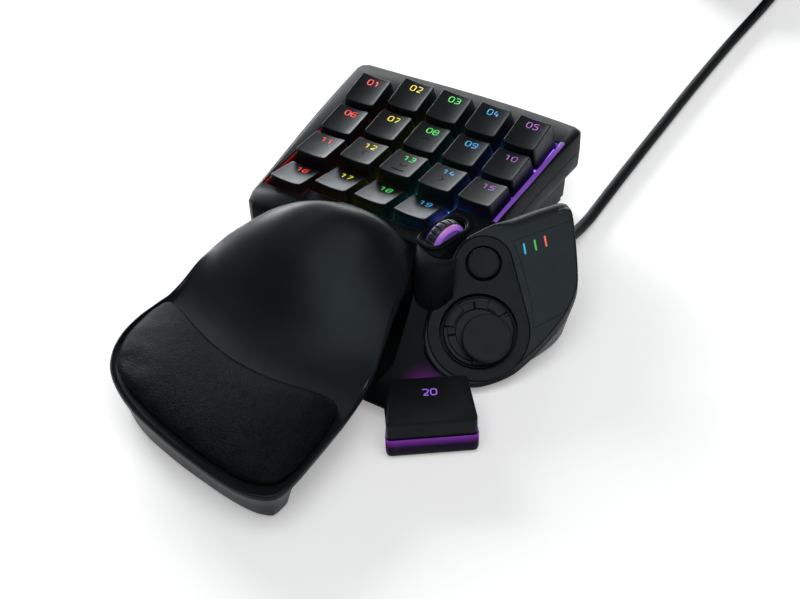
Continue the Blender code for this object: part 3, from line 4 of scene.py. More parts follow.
import bmesh
import bpy
import numpy as np
from mathutils import Matrix

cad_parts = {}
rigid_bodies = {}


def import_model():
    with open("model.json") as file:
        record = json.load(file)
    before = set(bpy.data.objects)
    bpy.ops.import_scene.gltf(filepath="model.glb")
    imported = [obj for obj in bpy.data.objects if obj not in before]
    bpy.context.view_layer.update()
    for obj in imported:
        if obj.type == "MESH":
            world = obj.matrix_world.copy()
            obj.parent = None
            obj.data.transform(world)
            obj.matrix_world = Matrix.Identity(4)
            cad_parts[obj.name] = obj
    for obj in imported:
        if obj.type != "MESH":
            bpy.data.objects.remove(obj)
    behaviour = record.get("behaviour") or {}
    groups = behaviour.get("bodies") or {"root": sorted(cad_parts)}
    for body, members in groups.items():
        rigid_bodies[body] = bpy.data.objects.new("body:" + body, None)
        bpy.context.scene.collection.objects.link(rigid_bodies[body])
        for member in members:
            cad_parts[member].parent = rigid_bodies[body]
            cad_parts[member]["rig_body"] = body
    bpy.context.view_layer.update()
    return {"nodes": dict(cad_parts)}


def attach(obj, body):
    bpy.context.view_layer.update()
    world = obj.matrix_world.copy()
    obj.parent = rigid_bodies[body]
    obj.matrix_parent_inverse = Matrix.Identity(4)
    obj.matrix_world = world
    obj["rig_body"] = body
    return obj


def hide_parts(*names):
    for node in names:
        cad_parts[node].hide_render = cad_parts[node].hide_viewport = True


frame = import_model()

nodes = frame["nodes"]
mm = 0.001
spanMm = 100  # shapes given as shares are shares of this span
homeShift = Matrix.Translation((-16.05, 89.8, 0))  # from the drawing's zero to the middle of the footprint


# Places on the drawing, in millimetres

def placeAt(x, y, z, *turns):
    matrix = Matrix.Translation((x, y, z))
    for degrees, axis in turns:
        matrix = matrix @ Matrix.Rotation(radians(degrees), 4, axis)
    return matrix


def laid(points, place):
    # drawing points in a place, as metres in the shared frame
    matrix = np.array(homeShift @ place)
    return (np.asarray(points, float) @ matrix[:3, :3].T + matrix[:3, 3]) * mm


def drawn(points):
    # points of the shared frame, back in the drawing's millimetres
    return np.asarray(points, float) / mm - np.array(homeShift.translation)


table = placeAt(0, 0, 0)
deck = placeAt(0, 0, 36.5, (6, "X"))
bezelTop = placeAt(0, 0, 38.6, (1, "X"))
slotPlace = bezelTop @ placeAt(34.8, -63.9, 0, (-15.7, "Z"))
wheelPlace = slotPlace @ placeAt(-0.5, 0, -5.2)
axlePlace = wheelPlace @ placeAt(0, 0, 0, (90, "Y"))
thumbKeyPlace = placeAt(67.6, -130.8, 0, (36, "Z"))
facePlace = placeAt(64.4, -88.4, 16.8, (28, "Z"), (33, "X"))
padPlace = facePlace @ placeAt(0, 0, -6.2)
bootPlace = placeAt(63.6, -43.6, 9.5, (-90, "X"))


# Lines and outlines

def cubicThrough(a, b, c, d, perSpan):
    # cubic from b to c; the tangent at a point is half the step between its neighbours
    t = (np.arange(perSpan) / perSpan)[None, :, None]
    a, b, c, d = (q[:, None] for q in (a, b, c, d))
    out = (2 * b + (c - a) * t + (2 * a - 5 * b + 4 * c - d) * t**2 + (3 * b - a - 3 * c + d) * t**3) / 2
    return out.reshape(-1, b.shape[-1])


def openCurve(points, perSpan):
    p = np.asarray(points, float)
    out = cubicThrough(np.vstack([p[:1], p[:-2]]), p[:-1], p[1:], np.vstack([p[2:], p[-1:]]), perSpan)
    return np.vstack([out, p[-1:]])


def closedCurve(points, perSpan):
    p = np.asarray(points, float)
    return cubicThrough(*(np.roll(p, k, 0) for k in (1, 0, -1, -2)), perSpan)


def evenly(line, step):
    # points at even arc lengths along a line
    run = np.concatenate([[0], np.cumsum(np.linalg.norm(np.diff(line, axis=0), axis=1))])
    at = np.linspace(0, run[-1], max(2, int(round(run[-1] / step)) + 1))
    return np.stack([np.interp(at, run, line[:, k]) for k in range(line.shape[1])], -1)


def leftOf(steps):
    # unit normals on the left of these steps
    normal = np.stack([-steps[:, 1], steps[:, 0]], -1)
    return normal / np.maximum(np.linalg.norm(normal, axis=1, keepdims=True), 1e-12)


def insetLoop(loop, distance):
    # every point moves in along the mean normal of its two edges, mitred
    x, y = loop[:, 0], loop[:, 1]
    side = np.sign(np.sum(x * np.roll(y, -1) - y * np.roll(x, -1)))
    behind, ahead = leftOf(loop - np.roll(loop, 1, 0)), leftOf(np.roll(loop, -1, 0) - loop)
    mean = behind + ahead
    mean = mean / np.maximum(np.linalg.norm(mean, axis=1, keepdims=True), 1e-9)
    spread = np.maximum(0.5, np.sum(mean * behind, axis=1))
    return loop + side * mean * (distance / spread)[:, None]


def roundedLoop(width, depth, corner, perCorner=5, perSide=4):
    # four quarter circles joined by straight runs
    quarter = np.linspace(0, pi / 2, perCorner + 1)
    arcs = []
    for k, (sx, sy) in enumerate(((1, 1), (-1, 1), (-1, -1), (1, -1))):
        a = quarter + k * pi / 2
        arcs.append(np.stack([sx * (width / 2 - corner) + corner * np.cos(a),
                              sy * (depth / 2 - corner) + corner * np.sin(a)], -1))
    t = (np.arange(1, perSide) / perSide)[:, None]
    runs = [a[-1] * (1 - t) + b[0] * t for a, b in zip(arcs, arcs[1:] + arcs[:1])]
    return np.concatenate([part for pair in zip(arcs, runs) for part in pair])


def roundedPath(points, radius, steps=4, closed=False):
    # each corner becomes a quadratic curve between points on its two edges
    p = np.asarray(points, float)
    before, after = np.roll(p, 1, 0) - p, np.roll(p, -1, 0) - p
    if not closed:
        before[0], after[-1] = 0, 0
    lengths = [np.linalg.norm(e, axis=1, keepdims=True) for e in (before, after)]
    back, forth = (e / np.maximum(n, 1e-9) * np.minimum(radius, 0.49 * n)
                   for e, n in zip((before, after), lengths))
    t = np.linspace(0, 1, steps + 1)[None, :, None]
    return (p[:, None] + back[:, None] * (1 - t) ** 2 + forth[:, None] * t**2).reshape(-1, p.shape[1])


def circle(radius, sides=72, centre=(0, 0)):
    a = 2 * pi * np.arange(sides) / sides
    return np.array(centre) + radius * np.stack([np.cos(a), np.sin(a)], -1)


def raised(loop, height):
    # a flat loop with one height, or a height for each point
    return np.column_stack([loop, np.broadcast_to(height, len(loop))])


def turned(radius, height, turn):
    # points round the z axis, where radius and height may change on the way
    return np.stack(np.broadcast_arrays(radius * np.cos(turn), radius * np.sin(turn), height), -1)


def overEdge(loop, roof, edge, degrees):
    # rows round a quarter circle, from the top of the wall on to the roof
    return [raised(insetLoop(loop, edge * (1 - np.cos(t))), roof - edge * (1 - np.sin(t)))
            for t in np.radians(degrees)]


def eased(value):
    # 0 to 1 with level ends: 3t2 - 2t3
    t = np.clip(value, 0, 1)
    return t * t * (3 - 2 * t)


def smoothTable(table, value):
    # cubic reading of a table of pairs, its slopes taken from the neighbouring pairs
    xs, ys = np.array(table, float).T
    value = np.clip(value, xs[0], xs[-1])
    i = np.clip(np.searchsorted(xs, value, side="left") - 1, 0, len(xs) - 2)
    low, high = np.maximum(i - 1, 0), np.minimum(i + 2, len(xs) - 1)
    run = xs[i + 1] - xs[i]
    t = (value - xs[i]) / run
    slope0 = (ys[i + 1] - ys[low]) / (xs[i + 1] - xs[low])
    slope1 = (ys[high] - ys[i]) / (xs[high] - xs[i])
    return ((2 * t**3 - 3 * t**2 + 1) * ys[i] + (t**3 - 2 * t**2 + t) * run * slope0
            + (3 * t**2 - 2 * t**3) * ys[i + 1] + (t**3 - t**2) * run * slope1)


# Pieces

def gridFaces(rows, cols, first=False, last=False, ring=False):
    # quads between neighbouring rows, the last column joined to the first
    r = np.arange(rows if ring else rows - 1)[:, None]
    c = np.arange(cols)[None, :]
    down, side = (r + 1) % rows, (c + 1) % cols
    corners = np.broadcast_arrays(r * cols + c, r * cols + side, down * cols + side, down * cols + c)
    faces = np.stack(corners, -1).reshape(-1, 4).tolist()
    if first:
        faces.append(list(range(cols))[::-1])
    if last:
        faces.append(list(range((rows - 1) * cols, rows * cols)))
    return faces


def newObject(name, data):
    made = bpy.data.objects.new(name, data)
    bpy.context.scene.collection.objects.link(made)
    return made


def newMesh(name, points, faces):
    mesh = bpy.data.meshes.new(name)
    mesh.from_pydata(np.asarray(points).reshape(-1, 3).tolist(), [], faces)
    return mesh


def turnOutward(mesh, merge=0.0, flatten=0.0):
    # corners merged and level faces joined where asked, then every face turned outwards
    builder = bmesh.new()
    builder.from_mesh(mesh)
    if merge:
        bmesh.ops.remove_doubles(builder, verts=builder.verts, dist=merge * mm)
    if flatten:
        bmesh.ops.dissolve_limit(builder, angle_limit=radians(flatten), verts=builder.verts,
                                 edges=builder.edges)
    bmesh.ops.recalc_face_normals(builder, faces=builder.faces)
    builder.to_mesh(mesh)
    builder.free()


def finishPiece(mesh, body, look, stands=(), crease=35, flatten=0.0):
    turnOutward(mesh, 0.0002, flatten)
    mesh.shade_smooth()
    if crease:
        mesh.set_sharp_from_angle(angle=radians(crease))
    mesh.materials.clear()
    mesh.materials.append(look)
    piece = newObject(mesh.name, mesh)
    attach(piece, body)
    if stands:
        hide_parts(*stands)
    return piece


def addPiece(name, points, faces, body, look, stands=(), crease=35):
    return finishPiece(newMesh(name, points, faces), body, look, stands, crease)


def skinned(name, rows, place, body, look, stands=(), crease=35, **closing):
    # rows of points, each a loop, skinned in turn
    grid = laid(np.stack(rows), place)
    return addPiece(name, grid, gridFaces(*grid.shape[:2], **closing), body, look, stands, crease)


def turnedPiece(name, profile, place, body, look, stands=(), sides=72, soft=0.3, centre=(0, 0)):
    # radius and height pairs, their corners rounded, spun about the place's z
    path = roundedPath(profile, soft)
    a = 2 * pi * np.arange(sides) / sides
    grid = laid(turned(path[:, :1], path[:, 1:], a) + (*centre, 0), place)
    return addPiece(name, grid, gridFaces(len(path), sides), body, look, stands, crease=50)


def softened(node, name, width, look, segments=3, angle=28):
    # a copy of a CAD solid: corners merged, level faces joined, sharp edges rounded
    source = nodes[node]
    corners = [v.co[:] for v in source.data.vertices]
    mesh = newMesh(name, corners, [p.vertices[:] for p in source.data.polygons])
    piece = finishPiece(mesh, source["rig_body"], look, (node,), crease=0, flatten=0.5)
    bevel = piece.modifiers.new("roundedEdges", "BEVEL")
    bevel.width = width * mm
    bevel.segments = segments
    bevel.limit_method = "ANGLE"
    bevel.angle_limit = radians(angle)
    bevel.harden_normals = True
    return piece


# Camera, at the photograph's angle

cameraPlan = {"azimuth": 33.229, "elevation": 41.860, "roll": -2.296, "lens": 72, "sensor": 36,
              "clip": (0.01, 20), "at": (0.27399, -0.39824, 0.44555)}


def addCamera(plan):
    camera = newObject("camera", bpy.data.cameras.new("camera"))
    camera.data.lens = plan["lens"]
    camera.data.sensor_width = plan["sensor"]
    camera.data.clip_start, camera.data.clip_end = plan["clip"]
    camera.matrix_world = placeAt(*plan["at"], (plan["azimuth"], "Z"), (90 - plan["elevation"], "X"),
                                  (plan["roll"], "Z"))
    bpy.context.scene.camera = camera


addCamera(cameraPlan)
print("camera set")


# Finishes

coolTint = (0.76, 0.92, 1.0, 1)


def newLook(name, colour, rough, specular=0.5, metallic=0.0):
    look = bpy.data.materials.new(name)
    look.use_nodes = True
    shader = look.node_tree.nodes["Principled BSDF"]
    shader.inputs["Base Color"].default_value = (*colour, 1)
    shader.inputs["Roughness"].default_value = rough
    shader.inputs["Specular IOR Level"].default_value = specular
    shader.inputs["Specular Tint"].default_value = coolTint
    shader.inputs["Metallic"].default_value = metallic
    return look, look.node_tree, shader


def addNode(tree, kind, values=None, **settings):
    made = tree.nodes.new("ShaderNode" + kind)
    for key, value in settings.items():
        setattr(made, key, value)
    for key, value in (values or {}).items():
        made.inputs[key].default_value = value
    return made


def noiseOn(tree, coordinates, scale, detail=3, rough=0.5):
    noise = addNode(tree, "TexNoise", {"Scale": scale, "Detail": detail, "Roughness": rough})
    tree.links.new(coordinates, noise.inputs["Vector"])
    return noise.outputs[0]


def mathOn(tree, operation, first, second):
    # the second may be a plain number
    node = addNode(tree, "Math", operation=operation)
    tree.links.new(first, node.inputs[0])
    if isinstance(second, (int, float)):
        node.inputs[1].default_value = second
    else:
        tree.links.new(second, node.inputs[1])
    return node.outputs[0]


def whereOn(tree):
    return addNode(tree, "TexCoord").outputs["Object"]


def partsOn(tree, vector):
    parts = addNode(tree, "SeparateXYZ")
    tree.links.new(vector, parts.inputs[0])
    return parts.outputs


def rampOn(tree, value, stops):
    ramp = addNode(tree, "ValToRGB")
    elements = ramp.color_ramp.elements
    for index, (at, colour) in enumerate(stops):
        element = elements[index] if index < 2 else elements.new(at)
        element.position = at
        element.color = (*colour, 1)
    tree.links.new(value, ramp.inputs[0])
    return ramp.outputs[0]


def rangeOn(tree, value, low, high, fromLow=0.3, fromHigh=0.7):
    node = addNode(tree, "MapRange", {"From Min": fromLow, "From Max": fromHigh, "To Min": low,
                                      "To Max": high})
    tree.links.new(value, node.inputs["Value"])
    return node.outputs[0]


def bumpOn(tree, shader, height, depthMm, strength=1.0, under=None):
    bump = addNode(tree, "Bump", {"Strength": strength, "Distance": depthMm * mm})
    tree.links.new(height, bump.inputs["Height"])
    if under is not None:
        tree.links.new(under, bump.inputs["Normal"])
    tree.links.new(bump.outputs[0], shader.inputs["Normal"])
    return bump.outputs[0]


def drifting(colour, drift):
    # a darker and a lighter shade of one colour
    return [[c * (1 + side * drift) for c in colour] for side in (-1, 1)]


def plasticLook(name, colour, rough, specular=0.5, drift=0.2, grain=1500, depth=0.012, spread=0.03):
    # moulded plastic: slow drift of colour and gloss, fine spark-eroded grain
    look, tree, shader = newLook(name, colour, rough, specular)
    where = whereOn(tree)
    slow = noiseOn(tree, where, 38)
    dark, light = drifting(colour, drift)
    tree.links.new(rampOn(tree, slow, ((0.35, dark), (0.65, light))), shader.inputs["Base Color"])
    patch = noiseOn(tree, where, 210, 4)
    tree.links.new(rangeOn(tree, patch, rough - spread, rough + spread), shader.inputs["Roughness"])
    bumpOn(tree, shader, noiseOn(tree, where, grain, 2), depth)
    return look


leatherPlan = {
    "colour": (0.0026, 0.0028, 0.0032), "rough": 0.44, "specular": 0.04, "bend": 0.0016, "bendScale": 260,
    "cellScale": 780, "cellSpread": 0.9, "crease": 0.22, "foldScale": 120, "driftScale": 30,
    "darkest": 0.55, "lightest": 1.7, "foldDepth": 0.35, "pebbleDepth": 0.07,
}


def leatherLook(name, plan):
    # pebbled cells with creases between them, over slow wrinkles
    look, tree, shader = newLook(name, plan["colour"], plan["rough"], plan["specular"])
    where = whereOn(tree)
    bent = addNode(tree, "VectorMath", operation="MULTIPLY_ADD")
    wobble = addNode(tree, "TexNoise", {"Scale": plan["bendScale"], "Detail": 2})
    tree.links.new(where, wobble.inputs["Vector"])
    tree.links.new(wobble.outputs["Color"], bent.inputs[0])
    bent.inputs[1].default_value = (plan["bend"],) * 3
    tree.links.new(where, bent.inputs[2])
    cells = addNode(tree, "TexVoronoi", {"Scale": plan["cellScale"], "Randomness": plan["cellSpread"]},
                    feature="DISTANCE_TO_EDGE")
    tree.links.new(bent.outputs[0], cells.inputs["Vector"])
    pebble = rangeOn(tree, cells.outputs["Distance"], 0, 1, 0, plan["crease"])
    fold = noiseOn(tree, where, plan["foldScale"], 5, 0.6)
    slow = noiseOn(tree, where, plan["driftScale"])
    shade = mathOn(tree, "MULTIPLY", pebble, slow)
    dark, light = ([c * plan[share] for c in plan["colour"]] for share in ("darkest", "lightest"))
    tree.links.new(rampOn(tree, shade, ((0.0, dark), (0.6, light))), shader.inputs["Base Color"])
    tree.links.new(rangeOn(tree, fold, plan["rough"] - 0.09, plan["rough"] + 0.1), shader.inputs["Roughness"])
    broad = bumpOn(tree, shader, fold, plan["foldDepth"], 0.5)
    bumpOn(tree, shader, pebble, plan["pebbleDepth"], 0.6, broad)
    return look


# colours along x in millimetres: of the figures, and of the lit plate below the keys
figureSpectrum = (
    (-44, (0.78, 0.022, 0.022)), (-30, (0.80, 0.030, 0.012)), (-22.6, (0.86, 0.46, 0.012)),
    (-20.0, (0.80, 0.66, 0.012)), (-10, (0.40, 0.56, 0.02)), (-2, (0.05, 0.58, 0.06)),
    (4, (0.03, 0.54, 0.09)), (10, (0.01, 0.42, 0.36)), (17, (0.012, 0.27, 0.50)),
    (25, (0.05, 0.24, 0.66)), (32, (0.20, 0.09, 0.58)), (37, (0.24, 0.055, 0.32)),
    (48, (0.20, 0.065, 0.40)))
plateSpectrum = (
    (-50, (0.20, 0.006, 0.004)), (-38, (0.34, 0.014, 0.006)), (-28, (0.40, 0.05, 0.008)),
    (-14, (0.40, 0.26, 0.012)), (-9, (0.36, 0.38, 0.02)), (0, (0.05, 0.42, 0.05)),
    (9.5, (0.01, 0.42, 0.34)), (19, (0.01, 0.26, 0.66)), (28.6, (0.05, 0.26, 1.0)),
    (36, (0.18, 0.12, 0.86)), (50, (0.20, 0.07, 0.52)))


def spectrumLook(name, strength, spectrum, rough=0.4):
    # one colour per column of keys, read from left to right, lit from inside
    look, tree, shader = newLook(name, (0.3, 0.3, 0.3), rough)
    low, high = spectrum[0][0], spectrum[-1][0]
    ends = [(x + homeShift.translation.x) * mm for x in (low, high)]
    along = rangeOn(tree, partsOn(tree, whereOn(tree))[0], 0, 1, *ends)
    colour = rampOn(tree, along, [((x - low) / (high - low), shade) for x, shade in spectrum])
    tree.links.new(colour, shader.inputs["Base Color"])
    tree.links.new(colour, shader.inputs["Emission Color"])
    shader.inputs["Emission Strength"].default_value = strength
    return look


def glowLook(name, colour, strength, base=None, rough=0.35, drift=0.12, coat=0.0):
    # a lit translucent moulding, a little uneven where the lamp behind it is nearer
    look, tree, shader = newLook(name, base or colour, rough)
    where = whereOn(tree)
    slow = noiseOn(tree, where, 260, 2)
    dark, light = drifting(colour, drift)
    tree.links.new(rampOn(tree, slow, ((0.3, dark), (0.7, light))), shader.inputs["Emission Color"])
    shader.inputs["Emission Strength"].default_value = strength
    shader.inputs["Coat Weight"].default_value = coat
    shader.inputs["Coat Roughness"].default_value = 0.12
    return look


def riseLook(name, shades, low, high, body=0.4, specular=0.5):
    # a lit moulding whose colour changes with its height above the table
    look, tree, shader = newLook(name, [c * body for c in shades[-1][1]], 0.3, specular)
    rise = rangeOn(tree, partsOn(tree, whereOn(tree))[2], 0, 1, low * mm, high * mm)
    tree.links.new(rampOn(tree, rise, shades), shader.inputs["Emission Color"])
    shader.inputs["Emission Strength"].default_value = 1
    return look


def addGlow(look, place, plan):
    # light thrown on a piece by its neighbour: colour * s2, s falling from 1 near a point to 0 far from it
    tree = look.node_tree
    shader = tree.nodes["Principled BSDF"]
    away = addNode(tree, "VectorMath", operation="DISTANCE")
    tree.links.new(whereOn(tree), away.inputs[0])
    away.inputs[1].default_value = laid([plan["at"]], place)[0].tolist()
    share = rangeOn(tree, away.outputs["Value"], 1, 0, plan["near"] * mm, plan["far"] * mm)
    shader.inputs["Emission Color"].default_value = (*plan["colour"], 1)
    tree.links.new(mathOn(tree, "MULTIPLY", share, share), shader.inputs["Emission Strength"])


def steelLook(name):
    # drawn sheet steel with fine lines along it
    look, tree, shader = newLook(name, (0.62, 0.62, 0.64), 0.28, metallic=1.0)
    where = whereOn(tree)
    lines = addNode(tree, "Mapping", {"Scale": (400, 30, 900)})
    tree.links.new(where, lines.inputs[0])
    brushed = noiseOn(tree, lines.outputs[0], 3, 4)
    tree.links.new(rangeOn(tree, brushed, 0.2, 0.42), shader.inputs["Roughness"])
    bumpOn(tree, shader, brushed, 0.004)
    return look


def boardLook(name):
    # green resist with paler tracks
    look, tree, shader = newLook(name, (0.01, 0.09, 0.04), 0.35)
    where = whereOn(tree)
    tracks = addNode(tree, "TexBrick", {"Scale": 90, "Mortar Size": 0.05, "Color1": (0.01, 0.08, 0.035, 1),
                                        "Color2": (0.012, 0.10, 0.045, 1), "Mortar": (0.05, 0.24, 0.11, 1)})
    tree.links.new(where, tracks.inputs["Vector"])
    tree.links.new(tracks.outputs["Color"], shader.inputs["Base Color"])
    bumpOn(tree, shader, tracks.outputs["Fac"], 0.02)
    return look


softTouch = plasticLook("softTouchShell", (0.0048, 0.0061, 0.0076), 0.38, 0.19, drift=0.05, grain=1900,
                        depth=0.005, spread=0.015)
housingPlastic = plasticLook("housingPlastic", (0.0045, 0.0056, 0.0068), 0.36, 0.06, drift=0.12, depth=0.010)
darkPlastic = plasticLook("darkPlastic", (0.0030, 0.0034, 0.0040), 0.5, 0.16)
modulePlastic = plasticLook("modulePlastic", (0.0042, 0.0053, 0.0064), 0.42, 0.22, drift=0.1)
platePlastic = plasticLook("facePlastic", (0.0055, 0.0068, 0.0082), 0.5, 0.16, drift=0.1)
padDark = plasticLook("padDark", (0.0034, 0.0040, 0.0048), 0.48, 0.22)
padRubber = plasticLook("padRubber", (0.0085, 0.0102, 0.0120), 0.58, 0.22, drift=0.15, grain=2300,
                        depth=0.015)
capPlastic = plasticLook("keycapPlastic", (0.0036, 0.0044, 0.0053), 0.35, 0.36, drift=0.12, grain=1700,
                         depth=0.005)
thumbPlastic = plasticLook("thumbKeyPlastic", (0.0036, 0.0044, 0.0053), 0.40, 0.13, drift=0.12, grain=1700,
                           depth=0.005)
# near black: the moulded marks on the caps, and also the painted shadow strip round the wheel slot
markAndShadowPlastic = plasticLook("markAndPaintedShadow", (0.0008, 0.0009, 0.0010), 0.5, 0.06, drift=0.1)
valleyPlastic = plasticLook("valleyPlastic", (0.0036, 0.0038, 0.0048), 0.52, 0.08, drift=0.1)
blackRubber = plasticLook("blackRubber", (0.0040, 0.0042, 0.0047), 0.58, 0.2, grain=1200, depth=0.02)
tyreRubber = plasticLook("tyreRubber", (0.0200, 0.0210, 0.0230), 0.36, 0.6, grain=2600, depth=0.006)
cableJacket = plasticLook("cableJacket", (0.0030, 0.0031, 0.0034), 0.5, 0.12, grain=900, depth=0.02)
innerPlastic = plasticLook("innerPlastic", (0.0300, 0.0305, 0.0330), 0.55, 0.4, drift=0.15)
leather = leatherLook("leather", leatherPlan)
steel = steelLook("drawnSteel")
board = boardLook("boardResist")
columnGlow = spectrumLook("columnGlow", 0.5, figureSpectrum)
plateGlow = spectrumLook("plateGlow", 3.2, plateSpectrum)
frameGlow = spectrumLook("frameGlow", 0.10, plateSpectrum, rough=0.3)
guideGlow = glowLook("guideGlow", (0.15, 0.048, 0.33), 1.0, (0.04, 0.02, 0.07), coat=0.4)
violetMark = glowLook("violetMark", (0.20, 0.075, 0.42), 0.9)
hubGlow = glowLook("hubGlow", (0.07, 0.03, 0.20), 1.0)
blueGlow = glowLook("blueGlow", (0.005, 0.24, 0.42), 1.0)
greenGlow = glowLook("greenGlow", (0.03, 0.27, 0.02), 1.0)
amberGlow = glowLook("amberGlow", (0.50, 0.07, 0.02), 1.0)
skirtShades = ((0, (0.002, 0.001, 0.003)), (0.4, (0.006, 0.002, 0.012)), (0.75, (0.08, 0.012, 0.15)),
               (1, (0.15, 0.028, 0.25)))
stripGlow = riseLook("stripGlow", skirtShades, 3.4, 9.7, 0.02, 0.06)
# the wheel rim's own violet glow, its top painted paler pink by height as a painted highlight
rimGlowAndHighlight = ((0, (0.07, 0.045, 0.30)), (0.55, (0.16, 0.07, 0.40)), (1, (0.42, 0.16, 0.42)))
wheelRimGlowAndHighlight = riseLook("wheelRimGlowAndHighlight", rimGlowAndHighlight, 35, 41.5)
valleyLight = {"at": (-0.4, 17.0, 7.0), "near": 3.0, "far": 13.0, "colour": (0.09, 0.009, 0.125)}
addGlow(valleyPlastic, thumbKeyPlace, valleyLight)
print("finishes made")


# Cable: free stretch, coil and tail on one line

cablePlan = {
    "diameter": 5, "length": 2.05, "turns": 9, "layers": 4, "mean": 29, "pitch": 5.6, "endY": 246,
    "firstHeight": 3.42, "layerRise": 5.6, "climb": 0.5, "tail": 75, "floorGap": 0.15, "sides": 14,
    "step": 2.0, "exit": (63.6, -28.9, 9.5),
    "routeShares": [
        (0.636, -0.430, 0.095), (0.636, -0.360, 0.095), (0.636, -0.280, 0.095), (0.636, -0.200, 0.090),
        (0.636, -0.120, 0.074), (0.635, -0.040, 0.053), (0.634, 0.040, 0.037), (0.633, 0.120, 0.029),
        (0.630, 0.200, 0.0265), (0.622, 0.500, 0.0265), (0.616, 0.900, 0.0265), (0.612, 1.300, 0.0265),
        (0.616, 1.700, 0.0265), (0.628, 2.050, 0.0265)],
    "endX": 63.6, "tailShares": ((0.45, 0.25), (0.75, 0.75), (1.0, 1.0), (1.35, 1.0), (1.7, 1.0)),
}


def coilLine(plan, stepsPerTurn=24):
    # radius swings in and out once a layer; the height steps up a layer, eased over half a turn
    perLayer = plan["turns"] / plan["layers"]
    swing = plan["pitch"] * perLayer
    outer = plan["mean"] + swing / 2
    turns = np.arange(plan["turns"] * stepsPerTurn + 1) / stepsPerTurn
    layer = np.minimum(plan["layers"] - 1, (turns / perLayer).astype(int))
    along = turns - layer * perLayer
    share = along / perLayer
    radius = outer - swing * np.where(layer % 2 == 0, share, 1 - share)
    height = layer.astype(float)
    half = plan["climb"] / 2
    rising = (along < half) & (layer > 0)
    height = np.where(rising, layer - 1 + eased((along + half) / plan["climb"]), height)
    leaving = (along > perLayer - half) & (layer < plan["layers"] - 1)
    height = np.where(leaving, layer + eased((along - perLayer + half) / plan["climb"]), height)
    a = 2 * pi * turns
    return np.stack([plan["endX"] - outer + radius * np.cos(a), plan["endY"] + radius * np.sin(a),
                     plan["firstHeight"] + height * plan["layerRise"]], -1)


def cableLine(plan):
    coil = coilLine(plan)
    d = plan["diameter"]
    start, end = coil[0], coil[-1]
    route = np.array(plan["routeShares"]) * spanMm
    lead = openCurve(np.vstack([route, start - (0, 3 * d, 0), start - (0, d, 0)]), 8)
    flat = (coil[-1] - coil[-2]) * (1, 1, 0)
    flat /= np.linalg.norm(flat)
    rest = d / 2 + plan["floorGap"]
    tail = [end, end + flat * d, end + flat * d * 2]
    for share, drop in plan["tailShares"]:
        tail.append(end + flat * (d * 2 + plan["tail"] * share) + np.array([0, 0, (rest - end[2]) * drop]))
    tail = openCurve(tail, 6)
    tail[:, 2] = np.maximum(tail[:, 2], rest)
    return evenly(np.vstack([lead, coil, tail[1:]]), plan["step"])


def tubeGrid(line, radius, sides):
    # circles square to the line; each one's axes are carried on from the one before by the least turn
    ahead = np.gradient(line, axis=0)
    ahead /= np.linalg.norm(ahead, axis=1, keepdims=True)
    first = np.zeros_like(line)
    axis = np.array([0.0, 0.0, 1.0])
    for i, way in enumerate(ahead):
        axis = axis - way * axis.dot(way)
        axis /= np.linalg.norm(axis)
        first[i] = axis
    second = np.cross(ahead, first)
    a = 2 * pi * np.arange(sides) / sides
    circles = first[:, None] * np.cos(a)[None, :, None] + second[:, None] * np.sin(a)[None, :, None]
    return line[:, None] + radius * circles


def addCable(plan):
    line = cableLine(plan)
    grid = tubeGrid(line, plan["diameter"] / 2, plan["sides"])
    faces = gridFaces(*grid.shape[:2], first=True, last=True)
    cable = addPiece("cable", laid(grid, table), faces, "base", cableJacket, ("cable_lead", "cable_coil"))


addCable(cablePlan)
print("cable laid")


# Palm rest: humped shell

